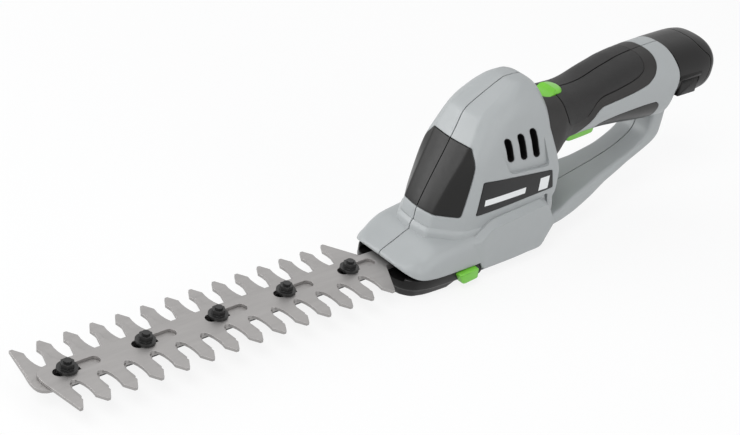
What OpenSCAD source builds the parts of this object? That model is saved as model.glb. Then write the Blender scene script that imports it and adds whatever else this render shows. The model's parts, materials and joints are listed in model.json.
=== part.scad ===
// Cordless garden shears with a double-acting shrub blade, as separate pieces.
// X runs from the blade tip to the battery, Y across and Z up. The origin lies on the
// flat sole that the tool rests on, straight under the crank's axis.

/* [Blades] */
// Distance between neighbouring teeth
tooth_pitch = 15; // [13:0.5:15.5]
// Blunt teeth along each blade
tooth_count = 14; // [8:1:14]
// Reach of the blunt teeth from the centreline
tooth_reach = 27.3; // [26:0.1:29]
// Reach of the arrow heads' shoulders from the centreline
tooth_shoulder = 22.2; // [20:0.1:23]
// Half width of an arrow head at its shoulders
tooth_head_half = 4; // [3.4:0.1:4.6]
// Half width of the flat at the end of an arrow head
tooth_end_half = 0.8; // [0.5:0.1:1.4]
// Reach of the cutting teeth from the centreline
cutter_reach = 18.2; // [15:0.1:20]
// Width of a cutting tooth at its end
cutter_end_w = 1.6; // [1:0.1:2.4]
// Half width of the blade's spine
spine_half = 7.8; // [7.2:0.1:9]
// Thickness of each blade
blade_t = 1.6; // [1.2:0.1:2]
// Running gap between stacked plates
plate_gap = 0.1; // [0.05:0.01:0.2]
// Height of the upper blade's top face above the sole
blade_top_z = 16; // [15.5:0.1:17]
// Distance from the crank's axis to the upper blade's first tooth
blade_reach = 262; // [262:1:275]
// Lead of the lower blade's teeth ahead of the upper blade's
lower_lead = 3.2; // [1:0.1:5]
// Length of each guide slot
slot_len = 25.5; // [24:0.5:28]
// Width of each guide slot
slot_w = 6.2; // [5.8:0.1:7]

/* [Blade bolts] */
// Number of guide bolts
bolt_count = 5; // [3:1:5]
// Distance between neighbouring bolts
bolt_spacing = 44.3; // [40:0.1:46]
// First bolt's distance behind the first tooth
first_bolt = 10; // [9:0.5:13]
// Gap between a bolt's shank and its slot, per side
bolt_play = 0.3; // [0.2:0.05:0.5]
// Diameter of a bolt's head under the bar
bolt_head_d = 9; // [8:0.5:10]
// Height of a bolt's head
bolt_head_t = 2; // [1.5:0.1:3]
// Diameter of a bolt's threaded end
bolt_thread_d = 4; // [3:0.5:5]
// Length of thread that stands above a nut
bolt_end_h = 1.2; // [0.6:0.1:2]
// Diameter of a nut's flange
nut_flange_d = 10.4; // [9:0.1:12]
// Thickness of a nut's flange
nut_flange_t = 1.5; // [1:0.1:2]
// Width of a nut across its corners
nut_hex_d = 7.2; // [6.6:0.1:8]
// Height of a nut's hexagon
nut_hex_h = 2.8; // [2:0.1:4]

/* [Support bar] */
// Half width of the bar under the blades
bar_half = 6.4; // [5.6:0.1:7]
// Thickness of the bar
bar_t = 2; // [1.5:0.1:2.5]
// Distance from the crank's axis to the bar's rear end
bar_rear = 20; // [18:0.5:24]
// Bar length in front of the first bolt
bar_lead = 7; // [6:0.5:10]
// Diameter of a screw that holds the bar
bar_screw_d = 3; // [2.5:0.5:4]

/* [Drive] */
// Eccentric throw, half of each blade's stroke
throw = 5.3; // [4:0.1:5.4]
// Diameter of each eccentric
eccentric_d = 16; // [14:0.5:17]
// Extra room in a blade's yoke on each side
yoke_play = 1.4; // [1.3:0.1:2]
// Metal round a yoke's opening
yoke_rim = 3; // [2:0.5:4]
// Diameter of the crank's shaft
crank_d = 6; // [5:0.5:6.5]
// Running clearance of a shaft in its bush
run_fit = 0.04; // [0.02:0.01:0.08]
// Wall of a bush
bush_wall = 1.5; // [1:0.1:2]
// Tooth size of the gears, as pitch diameter per tooth
gear_module = 1; // [0.9:0.05:1.05]
// Teeth on the motor's pinion
pinion_teeth = 10; // [8:1:12]
// Teeth on the crank's gear
gear_teeth = 40; // [36:1:41]
// Width of the crank's gear
gear_t = 6; // [4:0.5:7]
// Room between the gear and the cover plate under it
gear_lift = 0.6; // [0.4:0.1:1]

/* [Motor] */
// Diameter of the motor's can
motor_d = 33; // [28:0.5:34]
// Height of the motor's can
motor_h = 48; // [40:1:50]
// Wall of the motor's can
motor_wall = 1.5; // [1:0.1:2]
// Diameter of the motor's shaft
motor_shaft_d = 3.5; // [3:0.1:4]
// Thickness of the end cap over the motor's can
motor_cap_t = 5; // [3:0.5:6]
// Diameter of the cooling fan
fan_d = 27; // [22:0.5:28]
// Height of the cooling fan
fan_h = 6; // [4:0.5:8]
// Number of fan vanes
fan_vanes = 9; // [6:1:12]
// Thickness of the plate that carries the motor
mount_t = 3; // [2:0.5:4]
// Height of that plate above the sole
mount_z = 28; // [27.5:0.5:30]

/* [Body] */
// Length of the body from the nose to its rear wall
body_len = 113.5; // [110:0.5:120]
// Distance from the crank's axis to the nose
nose_reach = 53.5; // [52:0.5:56]
// Width of the body
body_w = 57; // [56:0.5:62]
// Height of the body above the sole
body_h = 112.5; // [110:0.5:118]
// Wall of the body
wall = 2.5; // [2:0.1:3]
// Gap between neighbouring pieces
fit = 0.3; // [0.2:0.05:0.4]
// Depth of the dark front panels
panel_t = 2; // [1.5:0.1:2.2]
// Thickness of the rating label
label_t = 0.4; // [0.3:0.1:0.8]
// Width of a vent slot
vent_w = 6.4; // [5:0.1:8]
// Height of a vent slot
vent_h = 18; // [14:0.5:20]
// Distance between neighbouring vent slots
vent_spacing = 10.5; // [9:0.5:12]
// Number of vent slots on each side
vent_count = 3; // [2:1:3]

/* [Cassette] */
// Set-back of the blade cassette's outline behind the body's
cassette_inset = 1.2; // [1:0.1:1.6]
// Height of the cassette's narrow foot
cassette_foot = 5; // [3.5:0.5:6]
// Half width of the cassette's rear part
cassette_rear_half = 20; // [19:0.5:21]
// Distance from the crank's axis to the cassette's rear end
cassette_rear = 26; // [24:0.5:27]
// Thickness of the cover plate over the blades
cover_t = 2; // [1.5:0.1:2.4]
// Length of a release button
button_len = 18; // [14:0.5:20]
// Height of a release button
button_h = 7.6; // [6:0.1:8]
// Depth of a release button into the cassette
button_depth = 8; // [6:0.5:8.5]
// Reach of a release button from the centreline
button_reach = 30.4; // [29.5:0.1:32]
// Travel of a release button
button_travel = 2.5; // [1.5:0.1:3]

/* [Handle] */
// Width of the handle at its rear end
handle_w = 42; // [41:0.5:46]
// Length from the crank's axis to the handle's rear end
handle_reach = 163; // [160:0.5:168]
// Thickness of the soft grip
grip_t = 2.2; // [1.5:0.1:2.4]
// Depth of the textured pads in the grip
pad_t = 1; // [0.6:0.1:1.4]
// Wall of the handle under the grip
handle_wall = 2.2; // [1.8:0.1:2.4]
// Half width of the guard bar under the handle
guard_half = 12.5; // [11:0.5:14]

/* [Controls] */
// Width of the trigger
trigger_w = 13; // [10:0.5:15]
// Diameter of the trigger's pin
trigger_pin_d = 4; // [3:0.5:4.5]
// Distance from the crank's axis to the trigger's pin
trigger_x = 80; // [79:0.5:82]
// Height of the trigger's pin
trigger_z = 70; // [69:0.5:71]
// Length of the trigger behind its pin
trigger_len = 25.5; // [22:0.5:27]
// Depth of the trigger under its pin
trigger_drop = 12; // [11:0.5:13]
// Length of the lock-off button
lock_len = 20; // [16:0.5:22]
// Width of the lock-off button
lock_w = 12.5; // [10:0.5:14]
// Height of the lock-off button's top above the sole
lock_top_z = 98.6; // [98:0.1:99.4]
// Height of the lock-off button
lock_h = 12.5; // [12:0.5:13.5]
// Travel of the lock-off button
lock_travel = 3; // [2:0.1:3.4]
// Distance from the crank's axis to the lock-off button's middle
lock_x = 59; // [58:0.5:60]

/* [Battery] */
// Diameter of a battery cell
cell_d = 18.4; // [18:0.1:18.6]
// Length of a battery cell
cell_len = 65; // [64:0.5:65.5]
// Wall of the battery's case
case_wall = 1.6; // [1.2:0.1:1.8]
// Height of the battery's middle above the sole
battery_z = 87.4; // [86.8:0.1:88]
// Length of the battery's stem inside the handle
stem_len = 46; // [42:0.5:48]
// Length of the battery's outer block
block_len = 26; // [25.5:0.5:28]
// Width of the battery's outer block
block_w = 41; // [38:0.5:42]
// Height of the battery's outer block above its middle
block_up = 19.8; // [19:0.1:20]
// Height of the battery's outer block below its middle
block_down = 16.8; // [16:0.1:18]
// Length of the battery's end cap
cap_len = 6.5; // [4:0.5:8]
// Travel of a battery latch
latch_travel = 1.6; // [1:0.1:2]
// Width of a battery latch along the tool
latch_len = 14; // [10:0.5:18]
// Height of a battery latch
latch_h = 8; // [6:0.5:9]

/* [Screws] */
// Diameter of a housing screw
screw_d = 3; // [2.5:0.1:3.5]
// Diameter of a housing screw's head
screw_head_d = 5.6; // [5:0.1:6]
// Outer diameter of a screw boss
boss_d = 7.4; // [6.8:0.1:8]

/* [Hidden] */

// Overrun of cuts past the faces that they open
over = 1;
// Thickness of the slices that the lofts are stretched between
slice = 0.4;
// Facets of round shapes and of rounded outlines
round_fn = 48;
soft_fn = 20;
// Side signs of the two halves
LEFT = -1;
RIGHT = 1;

// Gear teeth, in modules: height over and under the pitch circle, half widths at tip and root
tooth_out_share = 0.9;
tooth_in_share = 1.2;
tooth_tip_share = 0.32;
tooth_root_share = 0.92;
// Wire of the small springs
spring_wire_d = 0.8;

half_w = body_w / 2;
lower_top_z = blade_top_z - blade_t - plate_gap;
bar_top_z = lower_top_z - blade_t - plate_gap;
bar_z = bar_top_z - bar_t;
motor_x = gear_module * (pinion_teeth + gear_teeth) / 2;
cover_z = blade_top_z + plate_gap + fit;
gear_z = cover_z + cover_t + gear_lift;
shank_d = slot_w - 2 * bolt_play;
stem_h = cell_d + 2 * case_wall;
stem_w = stem_h;
stem_front = handle_reach - stem_len;
block_rear = handle_reach + block_len;
motor_z = mount_z + mount_t;
motor_top = motor_z + motor_h;

// Colours as seen on the object
GREY = [0.60, 0.64, 0.65];
DARK = [0.16, 0.16, 0.16];
BLACK = [0.06, 0.06, 0.06];
GREEN = [0.42, 0.80, 0.16];
STEEL = [0.58, 0.56, 0.55];
BRIGHT = [0.78, 0.78, 0.78];
COPPER = [0.72, 0.42, 0.22];
BOARD_GREEN = [0.10, 0.30, 0.16];
RED = [0.55, 0.08, 0.08];
BLUE = [0.20, 0.45, 0.62];

// The dome's level outlines from bottom to top, as shares of the body's height, length
// and half width: height, front, crease back, crease half, corner back, corner half,
// side start, half width, rear
dome_shares = [
  [0.195, 0.180, 0.196, 0.40, 0.305, 0.735, 0.400, 0.870, 0.980],
  [0.389, 0.197, 0.215, 0.40, 0.313, 0.730, 0.400, 0.870, 0.988],
  [0.542, 0.257, 0.274, 0.43, 0.332, 0.715, 0.410, 0.842, 0.984],
  [0.658, 0.308, 0.326, 0.46, 0.356, 0.690, 0.437, 0.800, 0.968],
  [0.732, 0.338, 0.353, 0.47, 0.386, 0.640, 0.459, 0.765, 0.950],
  [0.800, 0.365, 0.380, 0.44, 0.413, 0.580, 0.492, 0.723, 0.925],
  [0.852, 0.382, 0.398, 0.39, 0.442, 0.526, 0.528, 0.681, 0.898],
  [0.882, 0.416, 0.438, 0.33, 0.486, 0.491, 0.570, 0.639, 0.868],
  [0.926, 0.512, 0.529, 0.28, 0.562, 0.439, 0.614, 0.554, 0.822],
  [0.971, 0.606, 0.619, 0.21, 0.640, 0.333, 0.678, 0.404, 0.772],
  [1.000, 0.668, 0.674, 0.10, 0.687, 0.140, 0.706, 0.180, 0.735]];
// Rounding of the dome's rear corners as a share of the half width
dome_corner_share = 0.22;

// The shoe's cross sections from the nose back, as shares of the length, half width and
// height: place, half width, top, skirt edge, bottom, bottom half width
shoe_shares = [
  [0.000, 0.49, 0.183, 0.170, 0.170, 0.49],
  [0.013, 0.65, 0.190, 0.153, 0.153, 0.65],
  [0.053, 0.83, 0.208, 0.130, 0.130, 0.83],
  [0.101, 0.91, 0.228, 0.116, 0.116, 0.91],
  [0.181, 0.96, 0.273, 0.111, 0.111, 0.96],
  [0.385, 0.99, 0.298, 0.111, 0.111, 0.99],
  [0.498, 1.00, 0.314, 0.111, 0.111, 1.00],
  [0.511, 1.00, 0.316, 0.062, 0.000, 0.70],
  [0.738, 0.99, 0.336, 0.060, 0.000, 0.70],
  [0.895, 0.955, 0.348, 0.062, 0.000, 0.68],
  [0.965, 0.90, 0.354, 0.072, 0.012, 0.62],
  [1.000, 0.81, 0.358, 0.085, 0.036, 0.56]];
// Rows of the shoe in front of its skirt, which the cassette follows
shoe_nose_rows = 7;
// Rounding of the shoe's shoulder, in steps of half width and height
shoulder_share = 0.23;

// The handle's cross sections, as shares of the handle's reach, half width and body
// height: place, half width, bottom, top
handle_shares = [
  [0.255, 0.90, 0.560, 0.845],
  [0.355, 0.90, 0.556, 0.845],
  [0.390, 0.86, 0.555, 0.843],
  [0.424, 0.83, 0.554, 0.842],
  [0.480, 0.84, 0.548, 0.842],
  [0.540, 0.86, 0.542, 0.853],
  [0.614, 0.885, 0.538, 0.886],
  [0.675, 0.91, 0.536, 0.909],
  [0.724, 0.93, 0.534, 0.926],
  [0.834, 0.97, 0.529, 0.945],
  [0.950, 1.00, 0.535, 0.952],
  [1.000, 1.00, 0.538, 0.952]];
// Rounding of the handle's outline as a share of its half width
handle_round_share = 0.78;
// Where the soft grip starts and ends along the handle
grip_start_share = 0.372;
grip_end_share = 0.86;
// Height of the grip's lower edge at its front and rear, as shares of the body's height
grip_low_shares = [0.50, 0.62];

// The guard bar's cross sections, as shares of the handle's reach and body height, with
// a share of its half width: place, bottom, top, half width
guard_shares = [
  [0.330, 0.060, 0.240, 1.62],
  [0.400, 0.085, 0.195, 1.60],
  [0.466, 0.108, 0.206, 1.56],
  [0.546, 0.128, 0.244, 1.42],
  [0.638, 0.165, 0.274, 1.26],
  [0.730, 0.212, 0.304, 1.10],
  [0.840, 0.268, 0.350, 0.98],
  [0.935, 0.330, 0.400, 0.98],
  [0.985, 0.360, 0.440, 0.98]];
// The guard's rear leg: front, rear, bottom, top and half width
guard_leg_shares = [0.950, 1.028, 0.375, 0.568, 0.98];

// Maps shares of the body to places
function bx(share) = share * body_len - nose_reach;
function bz(share) = share * body_h;
function by(share) = share * half_w;
function hx(share) = share * handle_reach;

// Level outline of the dome at one row, drawn in by an inset
function dome_row(row, inset) =
  let (xf = bx(row[1]) + inset, xr = bx(row[8]) - inset, w = max(by(row[7]) - inset, slice),
       c = by(dome_corner_share) * w / half_w,
       upper = [[xf, 0],
                [bx(row[2]) + inset, max(by(row[3]) - inset, slice / 2)],
                [bx(row[4]) + inset, max(by(row[5]) - inset, slice)],
                [bx(row[6]) + inset, w], [xr - c, w], [xr, w - c]])
  concat(upper, [for (i = [len(upper) - 1 : -1 : 1]) [upper[i][0], -upper[i][1]]]);

// Cross section of the shoe at one row, drawn in by an inset
function shoe_row(row, inset) =
  let (w = by(row[1]) - inset, top = bz(row[2]) - inset, r = by(shoulder_share),
       skirt = bz(row[3]), bottom = bz(row[4]), foot = by(row[5]),
       low = bottom < skirt ? bottom + inset : bottom - (inset > 0 ? over : 0),
       right = [[w - r, top], [w - r / 2, top - r / 5], [w - r / 4, top - r * 2 / 3],
                [w, skirt + (bottom < skirt ? inset / 2 : 0)],
                [foot - inset, low]])
  concat(right, [for (i = [len(right) - 1 : -1 : 0]) [-right[i][0], right[i][1]]]);

// Slices for the lofts
module level_slice(z, points) {
  translate([0, 0, z]) linear_extrude(slice) polygon(points);
}

module cross_slice(x, points) {
  translate([x, 0, 0]) rotate([90, 0, 90]) linear_extrude(slice) polygon(points);
}

// The dome, drawn in by an inset
module dome(inset = 0) {
  for (i = [0 : len(dome_shares) - 2])
    hull() {
      level_slice(bz(dome_shares[i][0]) - inset, dome_row(dome_shares[i], inset));
      level_slice(bz(dome_shares[i + 1][0]) - inset, dome_row(dome_shares[i + 1], inset));
    }
}

// The low shoe that carries the nose and the skirt, drawn in by an inset
module shoe(inset = 0) {
  for (i = [0 : len(shoe_shares) - 2])
    hull() {
      cross_slice(shoe_x(i, inset), shoe_row(shoe_shares[i], inset));
      cross_slice(shoe_x(i + 1, inset), shoe_row(shoe_shares[i + 1], inset));
    }
}

// Place of a shoe row, with the two end rows drawn in
function shoe_x(i, inset) =
  bx(shoe_shares[i][0]) + (i == 0 ? inset : i == len(shoe_shares) - 1 ? -inset : 0);

// Rounded cross section between a bottom and a top
module oval_slice(x, half, bottom, top, round_share, inset) {
  h = half - inset;
  r = h * round_share;
  translate([x, 0, 0])
    rotate([90, 0, 90])
      linear_extrude(slice)
        hull()
          for (sy = [-1, 1], z = [bottom + inset + r, top - inset - r])
            translate([sy * (h - r), z]) circle(r, $fn = soft_fn);
}

// The handle's outer form, drawn in by an inset
module handle_form(inset = 0) {
  for (i = [0 : len(handle_shares) - 2])
    hull()
      for (row = [handle_shares[i], handle_shares[i + 1]])
        oval_slice(hx(row[0]), row[1] * handle_w / 2, bz(row[2]), bz(row[3]), handle_round_share, inset);
}

// The guard bar and its rear leg
module guard() {
  for (i = [0 : len(guard_shares) - 2])
    hull()
      for (row = [guard_shares[i], guard_shares[i + 1]])
        oval_slice(hx(row[0]), row[3] * guard_half, bz(row[1]), bz(row[2]), guard_round(row), 0);
  hull() {
    last = guard_shares[len(guard_shares) - 1];
    oval_slice(hx(last[0]), last[3] * guard_half, bz(last[1]), bz(last[2]), guard_round(last), 0);
    guard_leg_slice(guard_leg_shares[2]);
  }
  hull() {
    guard_leg_slice(guard_leg_shares[2]);
    guard_leg_slice(guard_leg_shares[3]);
  }
}

// Rounding that fits a guard row's height
function guard_round(row) =
  min(handle_round_share, (bz(row[2]) - bz(row[1])) / (2 * row[3] * guard_half));

// Level slice of the guard's rear leg
module guard_leg_slice(share) {
  depth = hx(guard_leg_shares[1]) - hx(guard_leg_shares[0]);
  translate([hx(guard_leg_shares[0]), 0, bz(share)])
    linear_extrude(slice)
      hull()
        for (sy = [-1, 1])
          translate([depth / 2, sy * (guard_leg_shares[4] * guard_half - depth / 2)])
            circle(depth / 2, $fn = soft_fn);
}

// Everything on one side of the seam
module side_half(side) {
  big = 2 * blade_reach;
  translate([-big / 2, side > 0 ? 0 : -big, -big / 2]) cube(big);
}

// Region of the soft grip, between its front and rear ends and above its lower edge
module grip_zone(margin = 0) {
  x0 = hx(grip_start_share) - margin;
  x1 = hx(grip_end_share) + margin;
  low0 = bz(grip_low_shares[0]);
  low1 = bz(grip_low_shares[1]) - margin;
  step = (x0 + 2 * x1) / 3;
  translate([0, handle_w, 0])
    rotate([90, 0, 0])
      linear_extrude(2 * handle_w)
        polygon([[x0, low0], [(x0 + x1) / 2, low0], [step, low1], [x1, low1 + grip_t],
                 [x1, 2 * body_h], [x0, 2 * body_h]]);
}

// Region of a textured pad inside the grip
pad_shares = [[0.433, 0.572], [0.546, 0.572], [0.588, 0.662], [0.803, 0.783], [0.817, 0.831],
  [0.792, 0.927], [0.443, 0.803]];

module pad_zone(margin = 0) {
  translate([0, handle_w, 0])
    rotate([90, 0, 0])
      linear_extrude(2 * handle_w)
        offset(delta = margin)
          polygon([for (p = pad_shares) [hx(p[0]), bz(p[1])]]);
}

// Window that the front panels fill
panel_low_share = 0.385;
panel_top_share = 0.725;
panel_side_top_share = 0.655;
panel_back_shares = [0.318, 0.352];

module panel_zone(margin = 0) {
  z0 = bz(panel_low_share) - margin;
  z1 = bz(panel_top_share) + margin;
  z2 = bz(panel_side_top_share) + margin;
  translate([0, half_w, 0])
    rotate([90, 0, 0])
      linear_extrude(body_w)
        polygon([[-nose_reach, z0], [bx(panel_back_shares[0]) + margin, z0],
                 [bx(panel_back_shares[1]) + margin, z2],
                 [bx(panel_back_shares[1]) - panel_t + margin, z1], [-nose_reach, z1]]);
}

// Outline of the rating label on the side, as shares of the length and height
label_shares = [[0.405, 0.381], [0.420, 0.565], [0.906, 0.515], [0.946, 0.406]];
label_reach_share = 0.90;

module label_zone(margin = 0) {
  translate([0, -by(label_reach_share) + body_w / 4, 0])
    rotate([90, 0, 0])
      linear_extrude(body_w / 2)
        offset(delta = margin)
          polygon([for (p = label_shares) [min(bx(p[0]), bx(label_back_share)), bz(p[1])]]);
}
label_back_share = 0.93;

// Vent slots through both sides
vent_first_share = 0.578;
vent_middle_share = 0.685;

// Depth of the blind recess behind the last vent
vent_recess_t = 0.9;

module vent_slot(i) {
  r = vent_w / 2;
  translate([bx(vent_first_share) + i * vent_spacing, 0, bz(vent_middle_share)])
    rotate([90, 0, 0])
      translate([0, 0, -half_w])
        linear_extrude(body_w)
          hull()
            for (sz = [-1, 1])
              translate([0, sz * (vent_h / 2 - r)]) circle(r, $fn = soft_fn);
}

module vents() {
  for (i = [0 : vent_count - 1]) vent_slot(i);
  difference() {
    vent_slot(vent_count);
    dome(vent_recess_t);
  }
}

// Room under the nose that the cassette fills
bay_rear = cassette_rear + 2 * fit;
gear_tip_r = gear_module * (gear_teeth / 2 + tooth_out_share);
bay_half = max(cassette_rear_half, gear_tip_r) + 2 * fit;

module cassette_bay() {
  translate([-nose_reach - over, -bay_half, -over])
    cube([nose_reach + over + bay_rear, 2 * bay_half, bz(shoe_shares[0][3]) + over]);
}

// Screw places along the body's seam, as shares of the length and height
screw_shares = [[0.303, 0.347], [0.897, 0.123], [0.947, 0.463], [0.617, 0.897]];
// Screw places in the handle and the guard's leg
handle_screw_shares = [[0.412, 0.622], [1.000, 0.473]];

function screw_places() = concat(
  [for (p = screw_shares) [bx(p[0]), bz(p[1])]],
  [for (p = handle_screw_shares) [hx(p[0]), bz(p[1])]]);

module screw_bosses() {
  for (p = screw_places())
    translate([p[0], half_w, p[1]]) rotate([90, 0, 0]) cylinder(h = body_w, d = boss_d, $fn = soft_fn);
}

// Depth of a screw's seat from the centreline, and length of its thread past the seam
screw_seat = 6;
screw_bite = 8;
screw_head_t = 2.4;

module screw_holes() {
  for (p = screw_places())
    translate([p[0], 0, p[1]])
      rotate([-90, 0, 0]) {
        translate([0, 0, -screw_bite - fit])
          cylinder(h = screw_bite + screw_seat + over, d = screw_d + fit, $fn = soft_fn);
        translate([0, 0, screw_seat])
          cylinder(h = half_w, d = screw_head_d + 2 * fit, $fn = soft_fn);
      }
}

// Half width of the motor's plate, as a share of the body's
mount_half_share = 0.76;
mount_half = by(mount_half_share);
// Ledges inside the body under the motor's plate
ledge_depth = 9;
ledge_h = 4;
ledge_spread = 13;

module ledges() {
  for (sy = [LEFT, RIGHT], sx = [-1, 1])
    translate([motor_x + sx * ledge_spread, sy * (mount_half - over + ledge_depth / 2),
               mount_z - ledge_h / 2])
      cube([ledge_h, ledge_depth, ledge_h], center = true);
}

// Place and size of the switch, and the ribs in the handle that carry it
switch_set_back = 8;
switch_lift = 4;
switch_front = trigger_x + switch_set_back;
switch_z = trigger_z + switch_lift;
switch_len = 16;
switch_h = 10;
switch_half = 7;
switch_ear = 3;
rib_t = 2;

module switch_ribs() {
  for (sy = [LEFT, RIGHT])
    translate([switch_front, sy > 0 ? switch_half + fit : -handle_w / 2, switch_z - rib_t])
      cube([switch_len, handle_w / 2 - switch_half - fit, rib_t]);
}

// Room for the battery's stem
module stem_room() {
  translate([stem_front - 2 * fit, -stem_w / 2 - fit, battery_z - stem_h / 2 - fit])
    cube([stem_len + 2 * fit + handle_w, stem_w + 2 * fit, stem_h + 2 * fit]);
}

// Room in the handle in front of the battery
handle_room_front_share = 0.30;
handle_room_half = 12;
handle_room_low_share = 0.62;

module switch_room() {
  low = bz(handle_room_low_share) - fit;
  intersection() {
    handle_form(grip_t + handle_wall);
    translate([hx(handle_room_front_share) - over, -handle_room_half, low])
      cube([stem_front - hx(handle_room_front_share) + 2 * over, 2 * handle_room_half, body_h]);
  }
}

// Post under the lock-off button's spring
post_len = 9;

module lock_post() {
  translate([lock_x - post_len / 2, -post_len / 2, 0]) cube([post_len, post_len, lock_seat_z]);
}

// Pocket beside the trigger for its spring
spring_pocket_d = trigger_pin_d + 4 * spring_wire_d + 2 * fit;

module spring_pocket() {
  translate([trigger_x, trigger_w / 2 - fit, trigger_z])
    rotate([-90, 0, 0])
      cylinder(h = trigger_spring_w + 3 * fit, d = spring_pocket_d, $fn = soft_fn);
}

// Room that the trigger's rear corner swings through
trigger_swing = 2.6;

// Height that the trigger's slot starts from, under the handle
trigger_slot_share = 0.40;

// Slots for the trigger and the lock-off button
module control_slots() {
  low = bz(trigger_slot_share);
  front = trigger_x - trigger_hub_d / 2 - 2 * fit;
  translate([front, -trigger_w / 2 - fit, low])
    cube([trigger_x + trigger_len + trigger_swing - front, trigger_w + 2 * fit,
          trigger_z + fit + rib_t - low]);
  translate([lock_x, 0, lock_top_z - lock_h - lock_travel - fit])
    stadium(lock_len + 2 * fit, lock_w + 2 * fit, 2 * lock_h);
}

// Bar with round ends, standing on Z
module stadium(length, width, height) {
  straight = length - width;
  translate([-straight / 2, -width / 2, 0]) cube([straight, width, height]);
  for (sx = [-1, 1])
    translate([sx * straight / 2, 0, 0]) cylinder(h = height, d = width, $fn = round_fn);
}

// One half of the housing with its share of the handle, collar and guard
module housing(side) {
  color(GREY)
    difference() {
      intersection() {
        union() {
          difference() {
            union() {
              shoe();
              dome();
            }
            shoe(wall);
            dome(wall);
          }
          intersection() {
            union() {
              screw_bosses();
              ledges();
            }
            union() {
              shoe();
              dome();
              guard();
              handle_form(grip_t);
            }
          }
          difference() {
            handle_form();
            dome(wall / 2);
            difference() {
              grip_zone(fit / 2);
              handle_form(grip_t + fit / 2);
            }
          }
          difference() {
            guard();
            shoe(wall / 2);
          }
        }
        side_half(side);
      }
      cassette_bay();
      control_slots();
      stem_room();
      difference() {
        switch_room();
        switch_ribs();
        lock_post();
      }
      spring_pocket();
      vents();
      screw_holes();
      trigger_pin_hole();
      difference() {
        panel_zone(fit / 2);
        dome(panel_t + fit / 2);
      }
      if (side == LEFT)
        difference() {
          label_zone(fit / 2);
          dome(label_t);
        }
    }
}

module trigger_pin_hole() {
  translate([trigger_x, handle_room_half - 2 * fit, trigger_z])
    rotate([90, 0, 0])
      cylinder(h = 2 * (handle_room_half - 2 * fit), d = trigger_pin_d + fit, $fn = round_fn);
}

module housing_left() { housing(LEFT); }
module housing_right() { housing(RIGHT); }

// Dark front panel, one half
module front_panel(side) {
  color(DARK)
    intersection() {
      difference() {
        dome();
        dome(panel_t);
      }
      panel_zone();
      side_half(side);
    }
}

module front_panel_left() { front_panel(LEFT); }
module front_panel_right() { front_panel(RIGHT); }

// Plain rating label on the left side
module rating_label() {
  color(DARK)
    intersection() {
      difference() {
        dome();
        dome(label_t);
      }
      label_zone();
      side_half(LEFT);
    }
}

// Soft grip, one half, with a recess for its pad
module grip(side) {
  color(DARK)
    difference() {
      intersection() {
        difference() {
          handle_form();
          handle_form(grip_t);
        }
        grip_zone();
        side_half(side);
      }
      dome(-fit);
      control_slots();
      difference() {
        pad_zone(fit / 2);
        handle_form(pad_t);
      }
    }
}

module grip_left() { grip(LEFT); }
module grip_right() { grip(RIGHT); }

// Textured rubber pad in the grip
module grip_pad(side) {
  color(BLACK)
    intersection() {
      difference() {
        handle_form();
        handle_form(pad_t);
      }
      pad_zone();
      side_half(side);
      translate([0, side * handle_w / 2, body_h / 2])
        cube([4 * handle_reach, handle_w - fit, 2 * body_h], center = true);
    }
}

module grip_pad_left() { grip_pad(LEFT); }
module grip_pad_right() { grip_pad(RIGHT); }

// Screws that close the housing, driven from the right side
module housing_screws() {
  color(BRIGHT)
    for (p = screw_places())
      translate([p[0], 0, p[1]])
        rotate([-90, 0, 0]) {
          translate([0, 0, -screw_bite])
            cylinder(h = screw_bite + screw_seat, d = screw_d, $fn = round_fn);
          translate([0, 0, screw_seat])
            cylinder(h = screw_head_t, d = screw_head_d, $fn = round_fn);
        }
}

// Plate across the body that carries the motor
// Plate left before and behind the motor, and room round the pinion in the plate's hole
mount_margin = 8;
pinion_room = 1;
mount_front = motor_x - motor_d / 2 - mount_margin;
mount_rear = motor_x + motor_d / 2 + mount_margin;
motor_hole_d = gear_module * (pinion_teeth + 2 * tooth_out_share) + 2 * pinion_room;
// Place of the motor's screws, as a share of the can's radius
motor_screw_share = 0.62;

module motor_mount() {
  color(STEEL)
    difference() {
      translate([mount_front, -mount_half, mount_z])
        cube([mount_rear - mount_front, 2 * mount_half, mount_t]);
      translate([motor_x, 0, mount_z - over])
        cylinder(h = mount_t + 2 * over, d = motor_hole_d, $fn = round_fn);
      motor_screw_places()
        translate([0, 0, -over])
          cylinder(h = mount_t + 2 * over, d = screw_d + fit, $fn = round_fn);
    }
}

// Places of the two motor screws
module motor_screw_places() {
  for (sy = [LEFT, RIGHT])
    translate([motor_x, sy * motor_screw_share * motor_d / 2, mount_z]) children();
}

// Depth of the motor screws' threads in the can
motor_screw_bite = 1.2;

module motor_screws() {
  color(BRIGHT)
    motor_screw_places() {
      cylinder(h = mount_t + motor_screw_bite, d = screw_d, $fn = round_fn);
      translate([0, 0, -screw_head_t]) cylinder(h = screw_head_t, d = screw_head_d, $fn = round_fn);
    }
}

// Motor can, open at the top
bush_d = motor_shaft_d + 2 * run_fit + 2 * bush_wall;
bush_h = 3;

module motor_can() {
  color(STEEL)
    difference() {
      translate([motor_x, 0, motor_z]) cylinder(h = motor_h, d = motor_d, $fn = round_fn);
      translate([motor_x, 0, motor_z + 2 * motor_wall])
        cylinder(h = motor_h, d = motor_d - 2 * motor_wall, $fn = round_fn);
      translate([motor_x, 0, motor_z - over]) cylinder(h = motor_h, d = bush_d, $fn = round_fn);
      motor_screw_places() cylinder(h = mount_t + motor_screw_bite, d = screw_d, $fn = round_fn);
    }
}

// Two curved magnets inside the can
magnet_t = 3;
magnet_gap = 6;
magnet_h_share = 0.8;

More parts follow.
